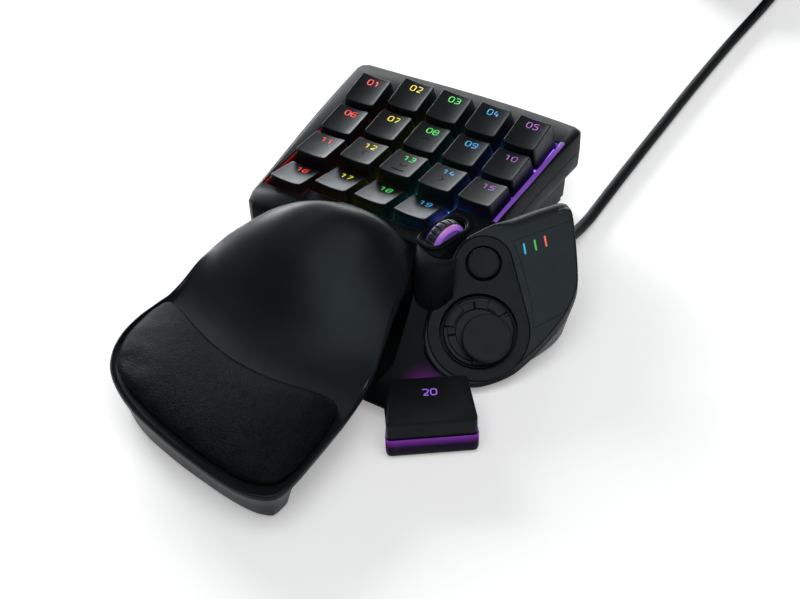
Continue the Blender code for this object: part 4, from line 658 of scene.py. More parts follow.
palmPlan = {
    "rimShares": [
        (0.284, -0.766), (0.315, -0.830), (0.348, -0.920), (0.374, -1.030), (0.402, -1.145),
        (0.432, -1.260), (0.458, -1.370), (0.476, -1.470), (0.485, -1.580), (0.487, -1.700),
        (0.486, -1.810), (0.484, -1.900), (0.475, -1.975), (0.448, -2.020), (0.386, -2.046),
        (0.310, -2.052), (0.210, -2.042), (0.090, -2.020), (-0.030, -1.994), (-0.140, -1.964),
        (-0.240, -1.932), (-0.340, -1.886), (-0.420, -1.834), (-0.474, -1.780), (-0.516, -1.704),
        (-0.536, -1.620), (-0.536, -1.530), (-0.521, -1.446), (-0.502, -1.364), (-0.486, -1.280),
        (-0.473, -1.190), (-0.456, -1.100), (-0.428, -1.014), (-0.382, -0.946), (-0.318, -0.892),
        (-0.243, -0.848), (-0.165, -0.806), (-0.085, -0.774), (0.090, -0.762), (0.180, -0.762),
        (0.250, -0.762)],
    "riseShares": [(0, 0), (0.06, 0.03), (0.12, 0.10), (0.20, 0.25), (0.30, 0.50), (0.40, 0.73),
                   (0.50, 0.89), (0.60, 0.98), (0.66, 0.97), (0.72, 0.88), (0.78, 0.72), (0.86, 0.6)],
    "acrossShares": [(0, 0.50), (0.12, 0.82), (0.25, 0.97), (0.4, 1.0), (0.55, 0.97), (0.7, 0.84),
                     (0.85, 0.60), (1, 0.34)],
    "shoulderShares": [(0, 0), (0.07, 0.07), (0.17, 0.15), (0.28, 0.08), (0.42, 0)],
    "tuckShares": [(-1.90, 0), (-1.76, 1), (-1.5, 1), (-1.3, 0.6), (-1.1, 0.25), (-0.8, 0)],
    "seat": 21, "seatAt": -155, "slope": 0.05, "hump": 27.5, "shoulderShare": 0.3,
    "bowY": -152, "bowX": 6, "bowLeft": (15, 56), "bowRight": (2.5, 36),
    "foot": 2.8, "footRise": 8.4, "footFrom": -142, "footRun": 14,
    "lip": 1.4, "lipRun": 15, "wall": 2.4, "inset": 3.5, "insetMore": 3.0, "tuckMore": 1.8,
    "edgeSteps": ((1.55, 4.4), (1.15, 3.2), (0.5, 2.75), (0.1, 2.4), (0, 1.9), (0, 1.2), (0.06, 0.7),
                  (0.2, 0.32), (0.42, 0.1), (0.75, 0)),
    "wallShares": (0.12, 0.3, 0.5), "nearRim": (0.972, 0.962), "underShares": (0.8, 0.66, 0.54, 0.4, 0.25, 0),
    "centre": (2, -135), "spanFar": -80, "rings": 40, "perSpan": 7,
}


def seatHeight(y):
    return palmPlan["seat"] + palmPlan["slope"] * (y - palmPlan["seatAt"])


def palmPast(x, y):
    # how far a point lies beyond the far edge of the seat, a bow that is deeper on the left
    plan = palmPlan
    left, right = (deep * ((x - plan["bowX"]) / run) ** 2
                   for deep, run in (plan["bowLeft"], plan["bowRight"]))
    return y - plan["bowY"] - np.where(x < plan["bowX"], left, right)


def rimSpan(y, rim):
    # left and right ends of the rim at these y, from the edges that cross each
    a, b = np.roll(rim, 1, 0), rim
    rise = b[:, 1] - a[:, 1]
    rise = np.where(np.abs(rise) < 1e-9, 1e-9, rise)
    t = (y[:, None] - a[None, :, 1]) / rise[None]
    at = a[None, :, 0] + (b[None, :, 0] - a[None, :, 0]) * t
    crossed = (t >= 0) & (t <= 1)
    left = np.where(crossed, at, np.inf).min(1)
    right = np.where(crossed, at, -np.inf).max(1)
    missed = ~crossed.any(1)
    return np.where(missed, -spanMm / 2, left), np.where(missed, spanMm / 2, right)


def palmHeight(x, y, rim):
    # the seat's plane, and beyond its edge the hump: one table along it, one across, one for the shoulder
    plan = palmPlan
    past = np.maximum(palmPast(x, y), 0)
    left, right = rimSpan(np.minimum(y, plan["spanFar"]), rim)
    share = np.clip((x - left) / np.maximum(right - left, 1), 0, 1)
    rise = smoothTable(plan["riseShares"], past / spanMm) * smoothTable(plan["acrossShares"], share)
    edge = np.maximum(0, 1 - share / plan["shoulderShare"]) ** 2
    return seatHeight(y) + plan["hump"] * (rise + edge * smoothTable(plan["shoulderShares"], past / spanMm))


def palmFoot(y):
    # the rest stands on its feet, and beyond them its rim lifts to clear the keypad
    plan = palmPlan
    return plan["foot"] + plan["footRise"] * np.clip((y - plan["footFrom"]) / plan["footRun"], 0, 1)


def addPalmShell(plan):
    rim = closedCurve(np.array(plan["rimShares"]) * spanMm, plan["perSpan"])
    x, y = rim.T
    lip, wall, inset, centre = plan["lip"], plan["wall"], plan["inset"], np.array(plan["centre"])
    edge = palmHeight(x, y, rim) + lip * np.clip(1 - palmPast(x, y) / plan["lipRun"], 0, 1)
    tucked = 1 + plan["tuckMore"] * smoothTable(plan["tuckShares"], y / spanMm)
    near = insetLoop(rim, inset + plan["insetMore"] * np.clip(x / spanMm + 0.5, 0, 1) * tucked)
    foot = raised(near, palmFoot(near[:, 1]))
    belly = raised(insetLoop(rim, inset / 2), edge)
    rows = [foot] + [foot * (1 - t) + belly * t for t in plan["wallShares"]]
    for step, drop in plan["edgeSteps"]:
        rows.append(raised(insetLoop(rim, step), edge - drop))
    for share in np.concatenate([plan["nearRim"], np.linspace(0.95, 0, plan["rings"])]):
        loop = centre + (rim - centre) * share
        rows.append(raised(loop, palmHeight(*loop.T, rim)))
    inner = insetLoop(near, wall)
    hem = palmFoot(inner[:, 1])
    under = [raised(inner, hem), raised((insetLoop(rim, inset / 2 + wall) + inner) / 2, (edge + hem) / 2),
             raised(insetLoop(rim, inset / 3 + wall), edge - lip - 1.6 * wall)]
    for share in plan["underShares"]:
        loop = centre + (rim - centre) * share
        under.append(raised(loop, palmHeight(*loop.T, rim) - wall))
    skinned("palmShell", under[::-1] + rows, table, "palm_rest", softTouch, ("palm_rest_shell",), crease=55)


addPalmShell(palmPlan)
print("palm shell made")


# Palm rest: leather cushion, swollen by a short cloth run

cushionPlan = {
    "outlineShares": [
        (-0.486, -1.410), (-0.444, -1.402), (-0.384, -1.426), (-0.260, -1.480), (-0.120, -1.526),
        (0.040, -1.550), (0.200, -1.546), (0.320, -1.530), (0.392, -1.528), (0.436, -1.558),
        (0.456, -1.620), (0.463, -1.720), (0.464, -1.820), (0.459, -1.905), (0.436, -1.962),
        (0.380, -1.996), (0.300, -2.006), (0.200, -1.998), (0.080, -1.978), (-0.040, -1.950),
        (-0.160, -1.918), (-0.260, -1.884), (-0.354, -1.846), (-0.426, -1.796), (-0.474, -1.734),
        (-0.504, -1.654), (-0.512, -1.565), (-0.506, -1.478)],
    "profileShares": [(1, 0.10), (1, 0.36), (0.975, 0.56), (0.92, 0.72), (0.8, 0.87), (0.6, 0.96),
                      (0.35, 1.0), (0, 1.0)],
    "height": 4.6, "lift": 0.3, "inner": 0.98, "voxel": 1.3, "pressure": 4.0, "pinned": 0.36, "quality": 5,
    "frames": 20, "most": 1.5, "smooth": 0.5, "passes": 9, "fill": 0.8,
}


def cushionStart(plan):
    # rings drawn in towards the middle, their heights read from the profile
    outline = closedCurve(np.array(plan["outlineShares"]) * spanMm, 3)
    centre = np.array([0, outline[:, 1].mean()])
    profile = openCurve(plan["profileShares"], 4)
    lift = plan["lift"]
    first = centre + (outline - centre) * plan["inner"]
    rows = [raised(first * 0 + centre, seatHeight(centre[1]) + lift),
            raised(first, seatHeight(first[:, 1]) + lift)]
    for share, rise in profile:
        loop = centre + (outline - centre) * min(share, 1)
        rows.append(raised(loop, seatHeight(loop[:, 1]) + lift + plan["height"] * rise))
    return rows


def cornersOf(mesh):
    flat = np.empty(len(mesh.vertices) * 3)
    mesh.vertices.foreach_get("co", flat)
    return flat.reshape(-1, 3)


def swell(piece, plan):
    # pressure lifts the crown while the sides and the underside stay pinned
    start = cornersOf(piece.data)
    where = drawn(start)
    above = where[:, 2] - seatHeight(where[:, 1])
    pins = piece.vertex_groups.new(name="pins")
    pins.add(np.flatnonzero(above < plan["pinned"] * plan["height"]).tolist(), 1.0, "REPLACE")
    cloth = piece.modifiers.new("swell", "CLOTH")
    cloth.settings.use_pressure = True
    cloth.settings.uniform_pressure_force = plan["pressure"]
    cloth.settings.effector_weights.gravity = 0
    cloth.settings.vertex_group_mass = "pins"
    cloth.settings.quality = plan["quality"]
    cloth.point_cache.frame_start = 1
    cloth.point_cache.frame_end = plan["frames"]
    for number in range(1, plan["frames"] + 1):
        bpy.context.scene.frame_set(number)
    move = cornersOf(piece.evaluated_get(bpy.context.evaluated_depsgraph_get()).data) - start
    far = np.linalg.norm(move, axis=1, keepdims=True)
    move *= np.minimum(1, plan["most"] * mm / np.maximum(far, 1e-9))
    piece.modifiers.remove(cloth)
    piece.vertex_groups.remove(pins)
    bpy.context.scene.frame_set(1)
    piece.data.vertices.foreach_set("co", (start + move).ravel())
    piece.data.update()
    print("cushion swelled by at most", round(float(far.max()) / mm, 2), "mm before the cap")


def addCushion(plan):
    piece = skinned("palmCushion", cushionStart(plan), table, "palm_rest", leather, ("palm_cushion",),
                    crease=0)
    remesh = piece.modifiers.new("even", "REMESH")
    remesh.mode = "VOXEL"
    remesh.voxel_size = plan["voxel"] * mm
    evenMesh = bpy.data.meshes.new_from_object(piece.evaluated_get(bpy.context.evaluated_depsgraph_get()))
    piece.modifiers.remove(remesh)
    evenMesh.materials.clear()
    evenMesh.materials.append(leather)
    evenMesh.shade_smooth()
    piece.data = evenMesh
    swell(piece, plan)
    smooth = piece.modifiers.new("evenOut", "SMOOTH")
    smooth.factor = plan["smooth"]
    smooth.iterations = plan["passes"]
    finer = piece.modifiers.new("finer", "SUBSURF")
    finer.levels = 1
    finer.render_levels = 1


addCushion(cushionPlan)
print("cushion made")


# Key caps of the field

capPlan = {
    "pitch": 19.05, "rowPitch": 19.1, "columnShares": (-0.255, 0, 0.03, 0.03, 0.02),
    "height": 11.5, "heightShares": (1, 0.81, 0.86, 0.82), "tilts": (6.2, 0, -9.2, -19),
    "base": 18.1, "baseCorner": 1.4, "topWidth": 14.9, "topDepth": 16.3, "topCorner": 1.25, "topShift": 0.25,
    "edge": 0.3, "dish": 0.75, "wall": 1.3, "bow": 0.16, "skirt": 0.5, "hem": 0.15, "tuck": 0.03,
    "wallFrom": 0.6, "stem": 2.3, "stemDepth": 7, "stemTip": 0.92, "stemSoft": 0.3,
    "loop": (5, 6), "wallShares": (0.01, 0.06, 0.2, 0.4, 0.6, 0.8, 1.0), "edgeTurns": (22, 45, 67, 90),
    "faceShares": (0.93, 0.82, 0.66, 0.5, 0.34, 0.17, 0),
}


def roofHeight(plan, row, x, y):
    # the tilted top, hollowed across its width by dish * (1 - (2x / width)^2)
    hollow = plan["dish"] * (1 - np.clip(np.abs(x) * 2 / plan["topWidth"], 0, 1) ** 2)
    return plan["height"] * plan["heightShares"][row] + y * tan(radians(plan["tilts"][row])) - hollow


def stemLoop(plan, loop):
    # as many points round the stem as the loop has, each on its own bearing
    away = np.arctan2(loop[:, 1], loop[:, 0])
    return plan["stem"] * np.stack([np.cos(away), np.sin(away)], -1)


def capRows(plan, row):
    base = roundedLoop(plan["base"], plan["base"], plan["baseCorner"], *plan["loop"])
    top = roundedLoop(plan["topWidth"], plan["topDepth"], plan["topCorner"], *plan["loop"])
    top = top + (0, plan["topShift"])
    edge, wall, skirt, depth = plan["edge"], plan["wall"], plan["skirt"], plan["stemDepth"]
    roof = roofHeight(plan, row, *top.T)
    under = insetLoop(top, wall)
    ceiling = roofHeight(plan, row, *under.T) - wall - edge
    stem = stemLoop(plan, under)
    rows = [raised(stem * 0, -depth), raised(stem * plan["stemTip"], -depth),
            raised(stem, plan["stemSoft"] - depth), raised(stem, ceiling.mean()), raised(under, ceiling),
            raised(insetLoop(base, wall), skirt), raised(insetLoop(base, plan["hem"]), skirt)]
    low = insetLoop(base, plan["tuck"])
    for t in plan["wallShares"]:
        bow = plan["bow"] * t * (1 - t)  # the walls hollow a little on the way up
        loop = insetLoop(low * (1 - t) + top * t, bow)
        rows.append(raised(loop, plan["wallFrom"] * (1 - t) + (roof - edge) * t))
        low = base
    rows += overEdge(top, roof, edge, plan["edgeTurns"])
    face, middle = insetLoop(top, edge), np.array([0, plan["topShift"]])
    for share in plan["faceShares"]:
        loop = middle + (face - middle) * share
        rows.append(raised(loop, roofHeight(plan, row, *loop.T)))
    return rows


def capPlaces(plan):
    # number, row and place of each key of the field; the last row has four
    number = 0
    for row in range(4):
        for column in range(5 if row < 3 else 4):
            number += 1
            y = plan["columnShares"][column] * plan["pitch"] - row * plan["rowPitch"]
            yield number, row, deck @ placeAt((column - 2) * plan["pitch"], y, 0)


for number, row, place in capPlaces(capPlan):
    skinned("keyCap%02d" % number, capRows(capPlan, row), place, "key_%02d" % number, capPlastic,
            ("key_%02d" % number,), crease=50)
print("key caps made")


# Wide thumb key

thumbKeyPlan = {
    "cornerShares": ((-0.1465, 0.122), (0.1525, 0.118), (0.170, -0.120), (-0.176, -0.120)),
    "corner": 2.2, "rim": 17.9, "bottom": 10.0, "ceiling": 15.5, "wall": 0.9, "dish": 0.45, "edge": 0.6,
    "bowl": (14.2, 11.4), "stem": 2.3, "stemTip": 7.4, "spacing": 2.5, "soft": 0.12,
    "wallHeights": (12, 14, 16), "edgeTurns": (18, 36, 54, 72, 90),
    "faceShares": (0.95, 0.87, 0.77, 0.66, 0.54, 0.42, 0.3, 0.17, 0),
}


def thumbOutline(plan):
    # the four corners rounded, with points along the sides for the dish
    corners = roundedPath(np.array(plan["cornerShares"]) * spanMm, plan["corner"], 8, closed=True)
    step = np.roll(corners, -1, 0) - corners
    parts = []
    for point, way in zip(corners, step):
        count = max(1, int(np.linalg.norm(way) / plan["spacing"]))
        parts.append(point + way * (np.arange(count) / count)[:, None])
    return np.concatenate(parts)


def thumbRoof(plan, x, y):
    # a shallow bowl, dish * (1 - u2)(1 - v2), level all along the rim
    u, v = (np.clip(np.abs(q) / half, 0, 1) for q, half in zip((x, y), plan["bowl"]))
    return plan["rim"] - plan["dish"] * (1 - u * u) * (1 - v * v)


def addThumbKey(plan):
    top = thumbOutline(plan)
    stem = stemLoop(plan, top)
    edge, bottom, ceiling, soft = (plan[key] for key in ("edge", "bottom", "ceiling", "soft"))
    hollow = insetLoop(top, plan["wall"])
    rows = [raised(stem * 0, plan["stemTip"]), raised(stem, plan["stemTip"]), raised(stem, ceiling),
            raised(hollow, ceiling), raised(hollow, bottom), raised(insetLoop(top, soft), bottom),
            raised(top, bottom + soft)]
    rows += [raised(top, z) for z in (*plan["wallHeights"], plan["rim"] - edge)]
    rows += overEdge(top, plan["rim"], edge, plan["edgeTurns"])
    for share in plan["faceShares"]:
        loop = insetLoop(top, edge) * share
        rows.append(raised(loop, thumbRoof(plan, *loop.T)))
    skinned("thumbKeyCap", rows, thumbKeyPlace, "key_20", thumbPlastic, ("key_20",), crease=50)


addThumbKey(thumbKeyPlan)

skirtPlan = {"gap": 0.12, "out": 0.5, "top": 9.75, "low": 2.8, "foot": 1.0, "footInset": 1.8, "soft": 0.15,
             "lip": 0.1, "footSoft": 0.35}


def addThumbSkirt(plan):
    # a rounded band round the cap's foot, into which the pressed cap sinks
    outline = thumbOutline(thumbKeyPlan)
    gap, out, soft, top, low, lip = (plan[key] for key in ("gap", "out", "soft", "top", "low", "lip"))
    steps = ((-gap, low), (-gap, top - lip), (-gap - lip, top), (soft - out, top), (-out, top - soft),
             (-out, low), (plan["footInset"] / 4 - out, plan["foot"] + plan["footSoft"]),
             (plan["footInset"] - out, plan["foot"]))
    rows = [raised(insetLoop(outline, inset), height) for inset, height in steps]
    skinned("thumbKeySkirt", rows, thumbKeyPlace, "base", stripGlow, ("key_20_skirt",), crease=45, ring=True)


addThumbSkirt(skirtPlan)
print("thumb key made")


# Numbers and marks on the keys, drawn with strokes

markPlan = {
    "digitWidth": 2.15, "digitHeight": 2.95, "gap": 0.95, "stroke": 0.48, "round": 1.0, "lift": 0.03,
    "thick": 0.08, "at": (0.1, 4.6), "step": 0.22,
    "wide": {"digitWidth": 2.2, "digitHeight": 3.0, "gap": 0.9, "stroke": 0.55}, "wideAt": (0.2, 4.2),
    "wideThick": 0.14, "markLift": 0.05, "markThick": 0.1,
    "arrowAt": (-0.2, -0.5), "arrowWidth": 3.4, "arrowHeight": 1.6, "arrowRound": 0.3, "arrowStroke": 0.5,
    "barAt": (-0.6, -4.3), "barLength": 6.4, "barStroke": 0.85,
}
digitShares = {
    "0": [[(0, 0), (1, 0), (1, 1), (0, 1), "closed"]],
    "1": [[(0.05, 0.80), (0.62, 1), (0.62, 0)]],
    "2": [[(0, 1), (1, 1), (1, 0.52), (0, 0), (1, 0)]],
    "3": [[(0, 1), (1, 1), (1, 0), (0, 0)], [(0.25, 0.52), (1, 0.52)]],
    "4": [[(0.3, 1), (0, 0.3), (1, 0.3)], [(0.78, 0.62), (0.78, 0)]],
    "5": [[(1, 1), (0, 1), (0, 0.56), (1, 0.56), (1, 0), (0, 0)]],
    "6": [[(0.92, 1), (0, 1), (0, 0), (1, 0), (1, 0.55), (0, 0.55)]],
    "7": [[(0, 1), (1, 1), (0.4, 0)]],
    "8": [[(0, 0), (1, 0), (1, 1), (0, 1), "closed"], [(0, 0.52), (1, 0.52)]],
    "9": [[(0.08, 0), (1, 0), (1, 1), (0, 1), (0, 0.45), (1, 0.45)]],
}
arrowShares = {8: [(-0.5, -0.5), (0, 0.5), (0.5, -0.5)], 12: [(0.25, 0.9), (-0.25, 0), (0.25, -0.9)],
               13: [(-0.5, 0.5), (0, -0.5), (0.5, 0.5)], 14: [(-0.25, 0.9), (0.25, 0), (-0.25, -0.9)]}


def stroke(path, width, closed=False):
    # both edges of a line: each point moves half the width along the mitred normal of its edges
    if closed:
        path = np.vstack([path, path[:1]])
    path = evenly(path, markPlan["step"])
    steps = np.diff(path, axis=0)
    if closed:
        behind, ahead = np.vstack([steps[-1:], steps]), np.vstack([steps, steps[:1]])
    else:
        behind, ahead = np.vstack([steps[:1], steps]), np.vstack([steps, steps[-1:]])
    one, two = leftOf(behind), leftOf(ahead)
    miter = (one + two) / np.maximum(1 + np.sum(one * two, axis=1, keepdims=True), 0.4)
    return np.stack([path - miter * width / 2, path + miter * width / 2], 1)


def addMarks(name, strokes, height, place, body, look, thick):
    # ribbons laid on the key top and given a thickness downwards
    points, faces, count = [], [], 0
    for ribbon in strokes:
        flat = ribbon.reshape(-1, 2)
        points.append(raised(flat, height(*flat.T)))
        i = count + 2 * np.arange(len(ribbon) - 1)
        faces += np.stack([i, i + 2, i + 3, i + 1], -1).tolist()
        count += len(flat)
    mesh = newMesh(name, laid(np.vstack(points), place), faces)
    mesh.materials.append(look)
    mesh.shade_smooth()
    piece = newObject(name, mesh)
    solid = piece.modifiers.new("thickness", "SOLIDIFY")
    solid.thickness = thick * mm
    solid.offset = -1
    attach(piece, body)


def numberStrokes(plan, label, at):
    # each figure's strokes, scaled to its cell and rounded at the corners
    cell = plan["digitWidth"] + plan["gap"]
    size = np.array([plan["digitWidth"], plan["digitHeight"]])
    found = []
    for index, figure in enumerate(label):
        corner = np.array(at) + ((index - (len(label) - 1) / 2) * cell - size[0] / 2, -size[1] / 2)
        for shape in digitShares[figure]:
            closed = shape[-1] == "closed"
            path = np.array(shape[:-1] if closed else shape, float) * size + corner
            found.append(stroke(roundedPath(path, plan["round"], 5, closed), plan["stroke"], closed))
    return found


def addKeyMarks(plan):
    for number, row, place in capPlaces(capPlan):
        body = "key_%02d" % number

        def onTop(x, y, lift=plan["lift"]):
            return roofHeight(capPlan, row, x, y) + lift

        def markOnTop(x, y):
            return onTop(x, y, plan["markLift"])

        figures = numberStrokes(plan, "%02d" % number, plan["at"])
        addMarks("number%02d" % number, figures, onTop, place, body, columnGlow, plan["thick"])
        marks = []
        if number in arrowShares:
            size = (plan["arrowWidth"], plan["arrowHeight"])
            path = np.array(arrowShares[number]) * size + plan["arrowAt"]
            marks.append(stroke(roundedPath(path, plan["arrowRound"]), plan["arrowStroke"]))
        if number == 13:
            middle, half = np.array(plan["barAt"]), np.array([plan["barLength"] / 2, 0])
            marks.append(stroke(np.stack([middle - half, middle + half]), plan["barStroke"]))
        if marks:
            addMarks("mark%02d" % number, marks, markOnTop, place, body, markAndShadowPlastic, plan["markThick"])

    def onThumbKey(x, y):
        return thumbRoof(thumbKeyPlan, x, y) + plan["lift"]

    figures = numberStrokes(plan | plan["wide"], "20", plan["wideAt"])
    addMarks("number20", figures, onThumbKey, thumbKeyPlace, "key_20", violetMark, plan["wideThick"])


addKeyMarks(markPlan)
print("numbers drawn")


# Lit frame between the keys and the bezel

framePlan = {
    "openingShares": [
        (-0.484, 0.056), (-0.290, 0.056), (-0.286, 0.106), (0.484, 0.106), (0.484, -0.485),
        (0.312, -0.485), (0.275, -0.662), (0.272, -0.678), (-0.286, -0.678), (-0.290, -0.729),
        (-0.484, -0.729)],
    "outer": 0.08, "inner": 0.72, "top": -0.55, "soft": 0.15, "bottom": -2.4,
    "guideShares": [(0.478, 0.100), (0.480, 0.112), (0.496, 0.114), (0.503, 0.100), (0.500, -0.485),
                    (0.484, -0.485), (0.484, 0.092)],
    "guideRound": 0.4, "guideSteps": ((0.1, -1.8), (0, -1.7), (0, 0.06), (0.1, 0.16), (0.3, 0.2)),
}


def addGlowFrame(plan):
    opening = np.array(plan["openingShares"]) * spanMm
    outer, inner, top, bottom = (plan[key] for key in ("outer", "inner", "top", "bottom"))
    steps = ((outer, bottom), (outer, top - plan["soft"]), ((outer + inner) / 2, top),
             (inner, top - plan["soft"]), (inner, bottom))
    rows = [raised(insetLoop(opening, inset), height) for inset, height in steps]
    skinned("glowFrame", rows, bezelTop, "base", frameGlow, ring=True)
    guide = roundedPath(np.array(plan["guideShares"]) * spanMm, plan["guideRound"], closed=True)
    rows = [raised(insetLoop(guide, inset), height) for inset, height in plan["guideSteps"]]
    skinned("lightGuide", rows, bezelTop, "base", guideGlow, first=True, last=True)


addGlowFrame(framePlan)
print("light frame made")


# Housing and valley, from the solids with their edges rounded

softened("keypad_bezel", "bezel", 0.55, housingPlastic, 4)
softened("middle_shell", "middleShell", 0.4, housingPlastic)
softened("lower_tray", "lowerTray", 0.5, darkPlastic)
softened("main_body", "valleyBody", 0.8, valleyPlastic, 4)

fairingPlan = {
    "topShares": [(0.262, -0.700, 0), (0.292, -0.742, 0), (0.335, -0.775, 0), (0.385, -0.790, 0),
                  (0.432, -0.782, 0), (0.470, -0.748, 0)],
    "footShares": [(0.300, -0.800, -0.165), (0.335, -0.880, -0.190), (0.375, -0.930, -0.205),
                   (0.425, -0.930, -0.205), (0.470, -0.900, -0.190), (0.500, -0.840, -0.165)],
    "topDrop": 0.06, "rings": 17, "thick": 1.0,
}


def addFairing(plan):
    # from the deck round the slot down to the valley: level at the deck, then down a quarter ellipse
    top, foot = (openCurve(np.array(plan[key]) * spanMm, 6) for key in ("topShares", "footShares"))
    turn = np.linspace(0, pi / 2, plan["rings"])[:, None, None]
    fall = top - foot - (0, 0, plan["topDrop"])
    sheet = foot + np.concatenate([(foot - top)[:, :2] * (np.sin(turn) - 1), fall[:, 2:] * np.cos(turn)], -1)
    grid = laid(np.concatenate([sheet, sheet[::-1] - (0, 0, plan["thick"])]), bezelTop)
    rows, cols = grid.shape[:2]
    i = (np.arange(rows)[:, None] * cols + np.arange(cols - 1)[None, :]).reshape(-1)
    j = (i + cols) % (rows * cols)
    faces = np.stack([i, i + 1, j + 1, j], -1).tolist()
    for side in (0, cols - 1):
        faces.append([r * cols + side for r in range(rows)])
    addPiece("valleyFairing", grid, faces, "base", valleyPlastic, crease=50)


addFairing(fairingPlan)
print("housing made")


# Scroll wheel

wheelPlan = {
    "radius": 9.5, "tyre": 4.4, "hole": 6.6, "teeth": 20, "perTooth": 14, "across": 25, "crown": 0.25,
    "shoulder": 0.55, "groove": 0.6, "grooveFrom": 0.68, "grooveRun": 0.12,
    "knobs": 5, "knobFrom": 0.84, "knobRun": 0.1, "knobRise": 0.85, "knobSteep": 1.6, "knobLow": 0.5,
    "rim": 8.9, "rimWidth": 1.6, "rimHole": 6.9, "rimGap": 0.12, "rimSides": 96, "rimSoft": 0.15,
    "domeTurns": 9,
}


def addWheel(plan):
    half = plan["tyre"] / 2
    sides = plan["teeth"] * plan["perTooth"]
    a = 2 * pi * np.arange(sides) / sides
    across = np.linspace(-1, 1, plan["across"])[:, None]
    # a groove between smooth ribs, with a row of round knobs standing in it: |cos(pi k (w + 1) / 2)| across
    off = np.abs(((a * plan["teeth"] / (2 * pi)) % 1) - 0.5)[None] * 2
    wave = np.abs(np.cos(pi * plan["knobs"] / 2 * (across + 1)))
    bumps = eased(plan["knobSteep"] * wave - plan["knobLow"])
    knob = bumps * eased((off - plan["knobFrom"]) / plan["knobRun"])
    groove = eased((off - plan["grooveFrom"]) / plan["grooveRun"]) * (1 - plan["knobRise"] * knob)
    shoulder = plan["shoulder"] * np.abs(across) ** 8
    radius = plan["radius"] - plan["crown"] * across**2 - shoulder - plan["groove"] * groove
    rows = [turned(plan["hole"], -half, a), *turned(radius, across * half, a), turned(plan["hole"], half, a)]
    skinned("wheelTyre", rows, axlePlace, "wheel", tyreRubber, ("wheel_tyre",), crease=40, ring=True)
    # a domed ring beside the tyre: an ellipse from its rim down to its hole
    start = half + plan["rimGap"]
    turn = np.linspace(0, pi / 2, plan["domeTurns"])
    dome = np.stack([plan["rimHole"] + (plan["rim"] - plan["rimHole"]) * np.cos(turn),
                     start + plan["rimWidth"] * np.sin(turn)], -1)
    profile = np.vstack([dome, [(plan["rimHole"], start), (plan["rim"], start)]])
    turnedPiece("wheelRim", profile, axlePlace, "wheel", wheelRimGlowAndHighlight, ("wheel_rim",), plan["rimSides"],
                plan["rimSoft"])


# seam and the foot after it give the width and height of a near-black strip round the ring: painted shadow of
# the crevice at its foot
slotPlan = {"width": 8.8, "length": 20.4, "corner": 3.9, "ringWidth": 2.3, "ringHeight": 0.9, "ringTurns": 13,
            "bead": 0.7, "lift": 0.05, "seam": 0.3, "shadowFoot": 0.02, "soft": 0.1,
            "liner": 0.35, "linerTop": 0.2, "linerDepth": 6.0}


def slotRow(plan, out, height):
    # the slot's outline, grown on every side, at a height
    return raised(roundedLoop(plan["width"] + 2 * out, plan["length"] + 2 * out, plan["corner"] + out, 9, 3),
                  height)


def addSlotRing(plan):
    # a flattened bead swept round the slot: width w (1 - cos^0.7) / 2 and height h sin
    lift, wide, liner, deep = (plan[key] for key in ("lift", "ringWidth", "liner", "linerDepth"))
    rows = []
    for angle in np.radians(np.linspace(0, 180, plan["ringTurns"])):
        out = wide * (1 - np.sign(np.cos(angle)) * np.abs(np.cos(angle)) ** plan["bead"]) / 2
        rows.append(slotRow(plan, out, lift + plan["ringHeight"] * np.sin(angle)))
    skinned("slotRing", rows, slotPlace, "base", housingPlastic, ("wheel_ring",), crease=60, ring=True)
    # a near-black strip laid just above the bezel round the ring: painted shadow, standing in for the dark
    # crevice at the ring's foot
    seam, soft, foot = plan["seam"], plan["soft"], plan["shadowFoot"]
    rows = [slotRow(plan, wide + out, height)
            for out, height in ((-soft, foot), (0, lift), (seam, lift), (seam + soft, foot))]
    skinned("slotPaintedShadow", rows, slotPlace, "base", markAndShadowPlastic, ring=True)
    rows = [slotRow(plan, -inset, height)
            for inset, height in ((lift, 0), (liner, -plan["linerTop"]), (liner, -deep), (lift, -deep))]
    skinned("slotLiner", rows, slotPlace, "base", darkPlastic, ring=True)


addWheel(wheelPlan)
addSlotRing(slotPlan)
print("wheel made")


# Thumb module

modulePlan = {
    "outlineShares": [
        (0.030, -0.208), (0.126, -0.158), (0.226, -0.066), (0.302, 0.022), (0.353, 0.103),
        (0.384, 0.191), (0.384, 0.290), (0.374, 0.404), (0.363, 0.489), (0.343, 0.540),
        (0.304, 0.547), (0.224, 0.521), (0.135, 0.486), (0.062, 0.452), (0.000, 0.419),
        (-0.054, 0.387), (-0.096, 0.342), (-0.122, 0.285), (-0.143, 0.222), (-0.168, 0.152),
        (-0.194, 0.080), (-0.212, 0.010), (-0.214, -0.045), (-0.197, -0.105), (-0.158, -0.158),
        (-0.102, -0.198), (-0.038, -0.217)],
    "foot": 2.6, "footInset": 4.8, "lip": 2.4, "edge": 0.9, "shoulder": 6.4, "shoulderDrop": 4.6,
    "farLine": (0.384, 0.383, 0.150), "farFrom": 0.035, "farRun": 0.045, "fadeFrom": 0.03, "fadeRun": 0.10,
    "wallShares": (0, 0.1, 0.6, 1), "edgeTurns": (0, 12, 25, 38, 50, 62, 74, 90),
    "seam": 0.12, "seamDepth": 1.4, "panelDepth": 1.3, "above": 3, "sharp": 30,
    "cableHole": 3.7, "cableHoleSpan": (-6.3, 6),
}
dropPlan = {"wide": 20.2, "narrow": 11.6, "buttonAt": (1.3, 27.8), "gap": 0.1, "depth": 2.2, "well": 15.45,
            "wellDepth": 6.4, "pit": 9.5, "pitDepth": 8.6, "recess": 7.6, "recessDepth": 8.5}
panelShares = [
    (0.128, 0.372), (0.420, 0.487), (0.440, 0.200), (0.420, 0.140), (0.340, 0.090), (0.216, 0.018),
    (0.213, 0.070), (0.196, 0.160), (0.172, 0.250), (0.146, 0.330)]


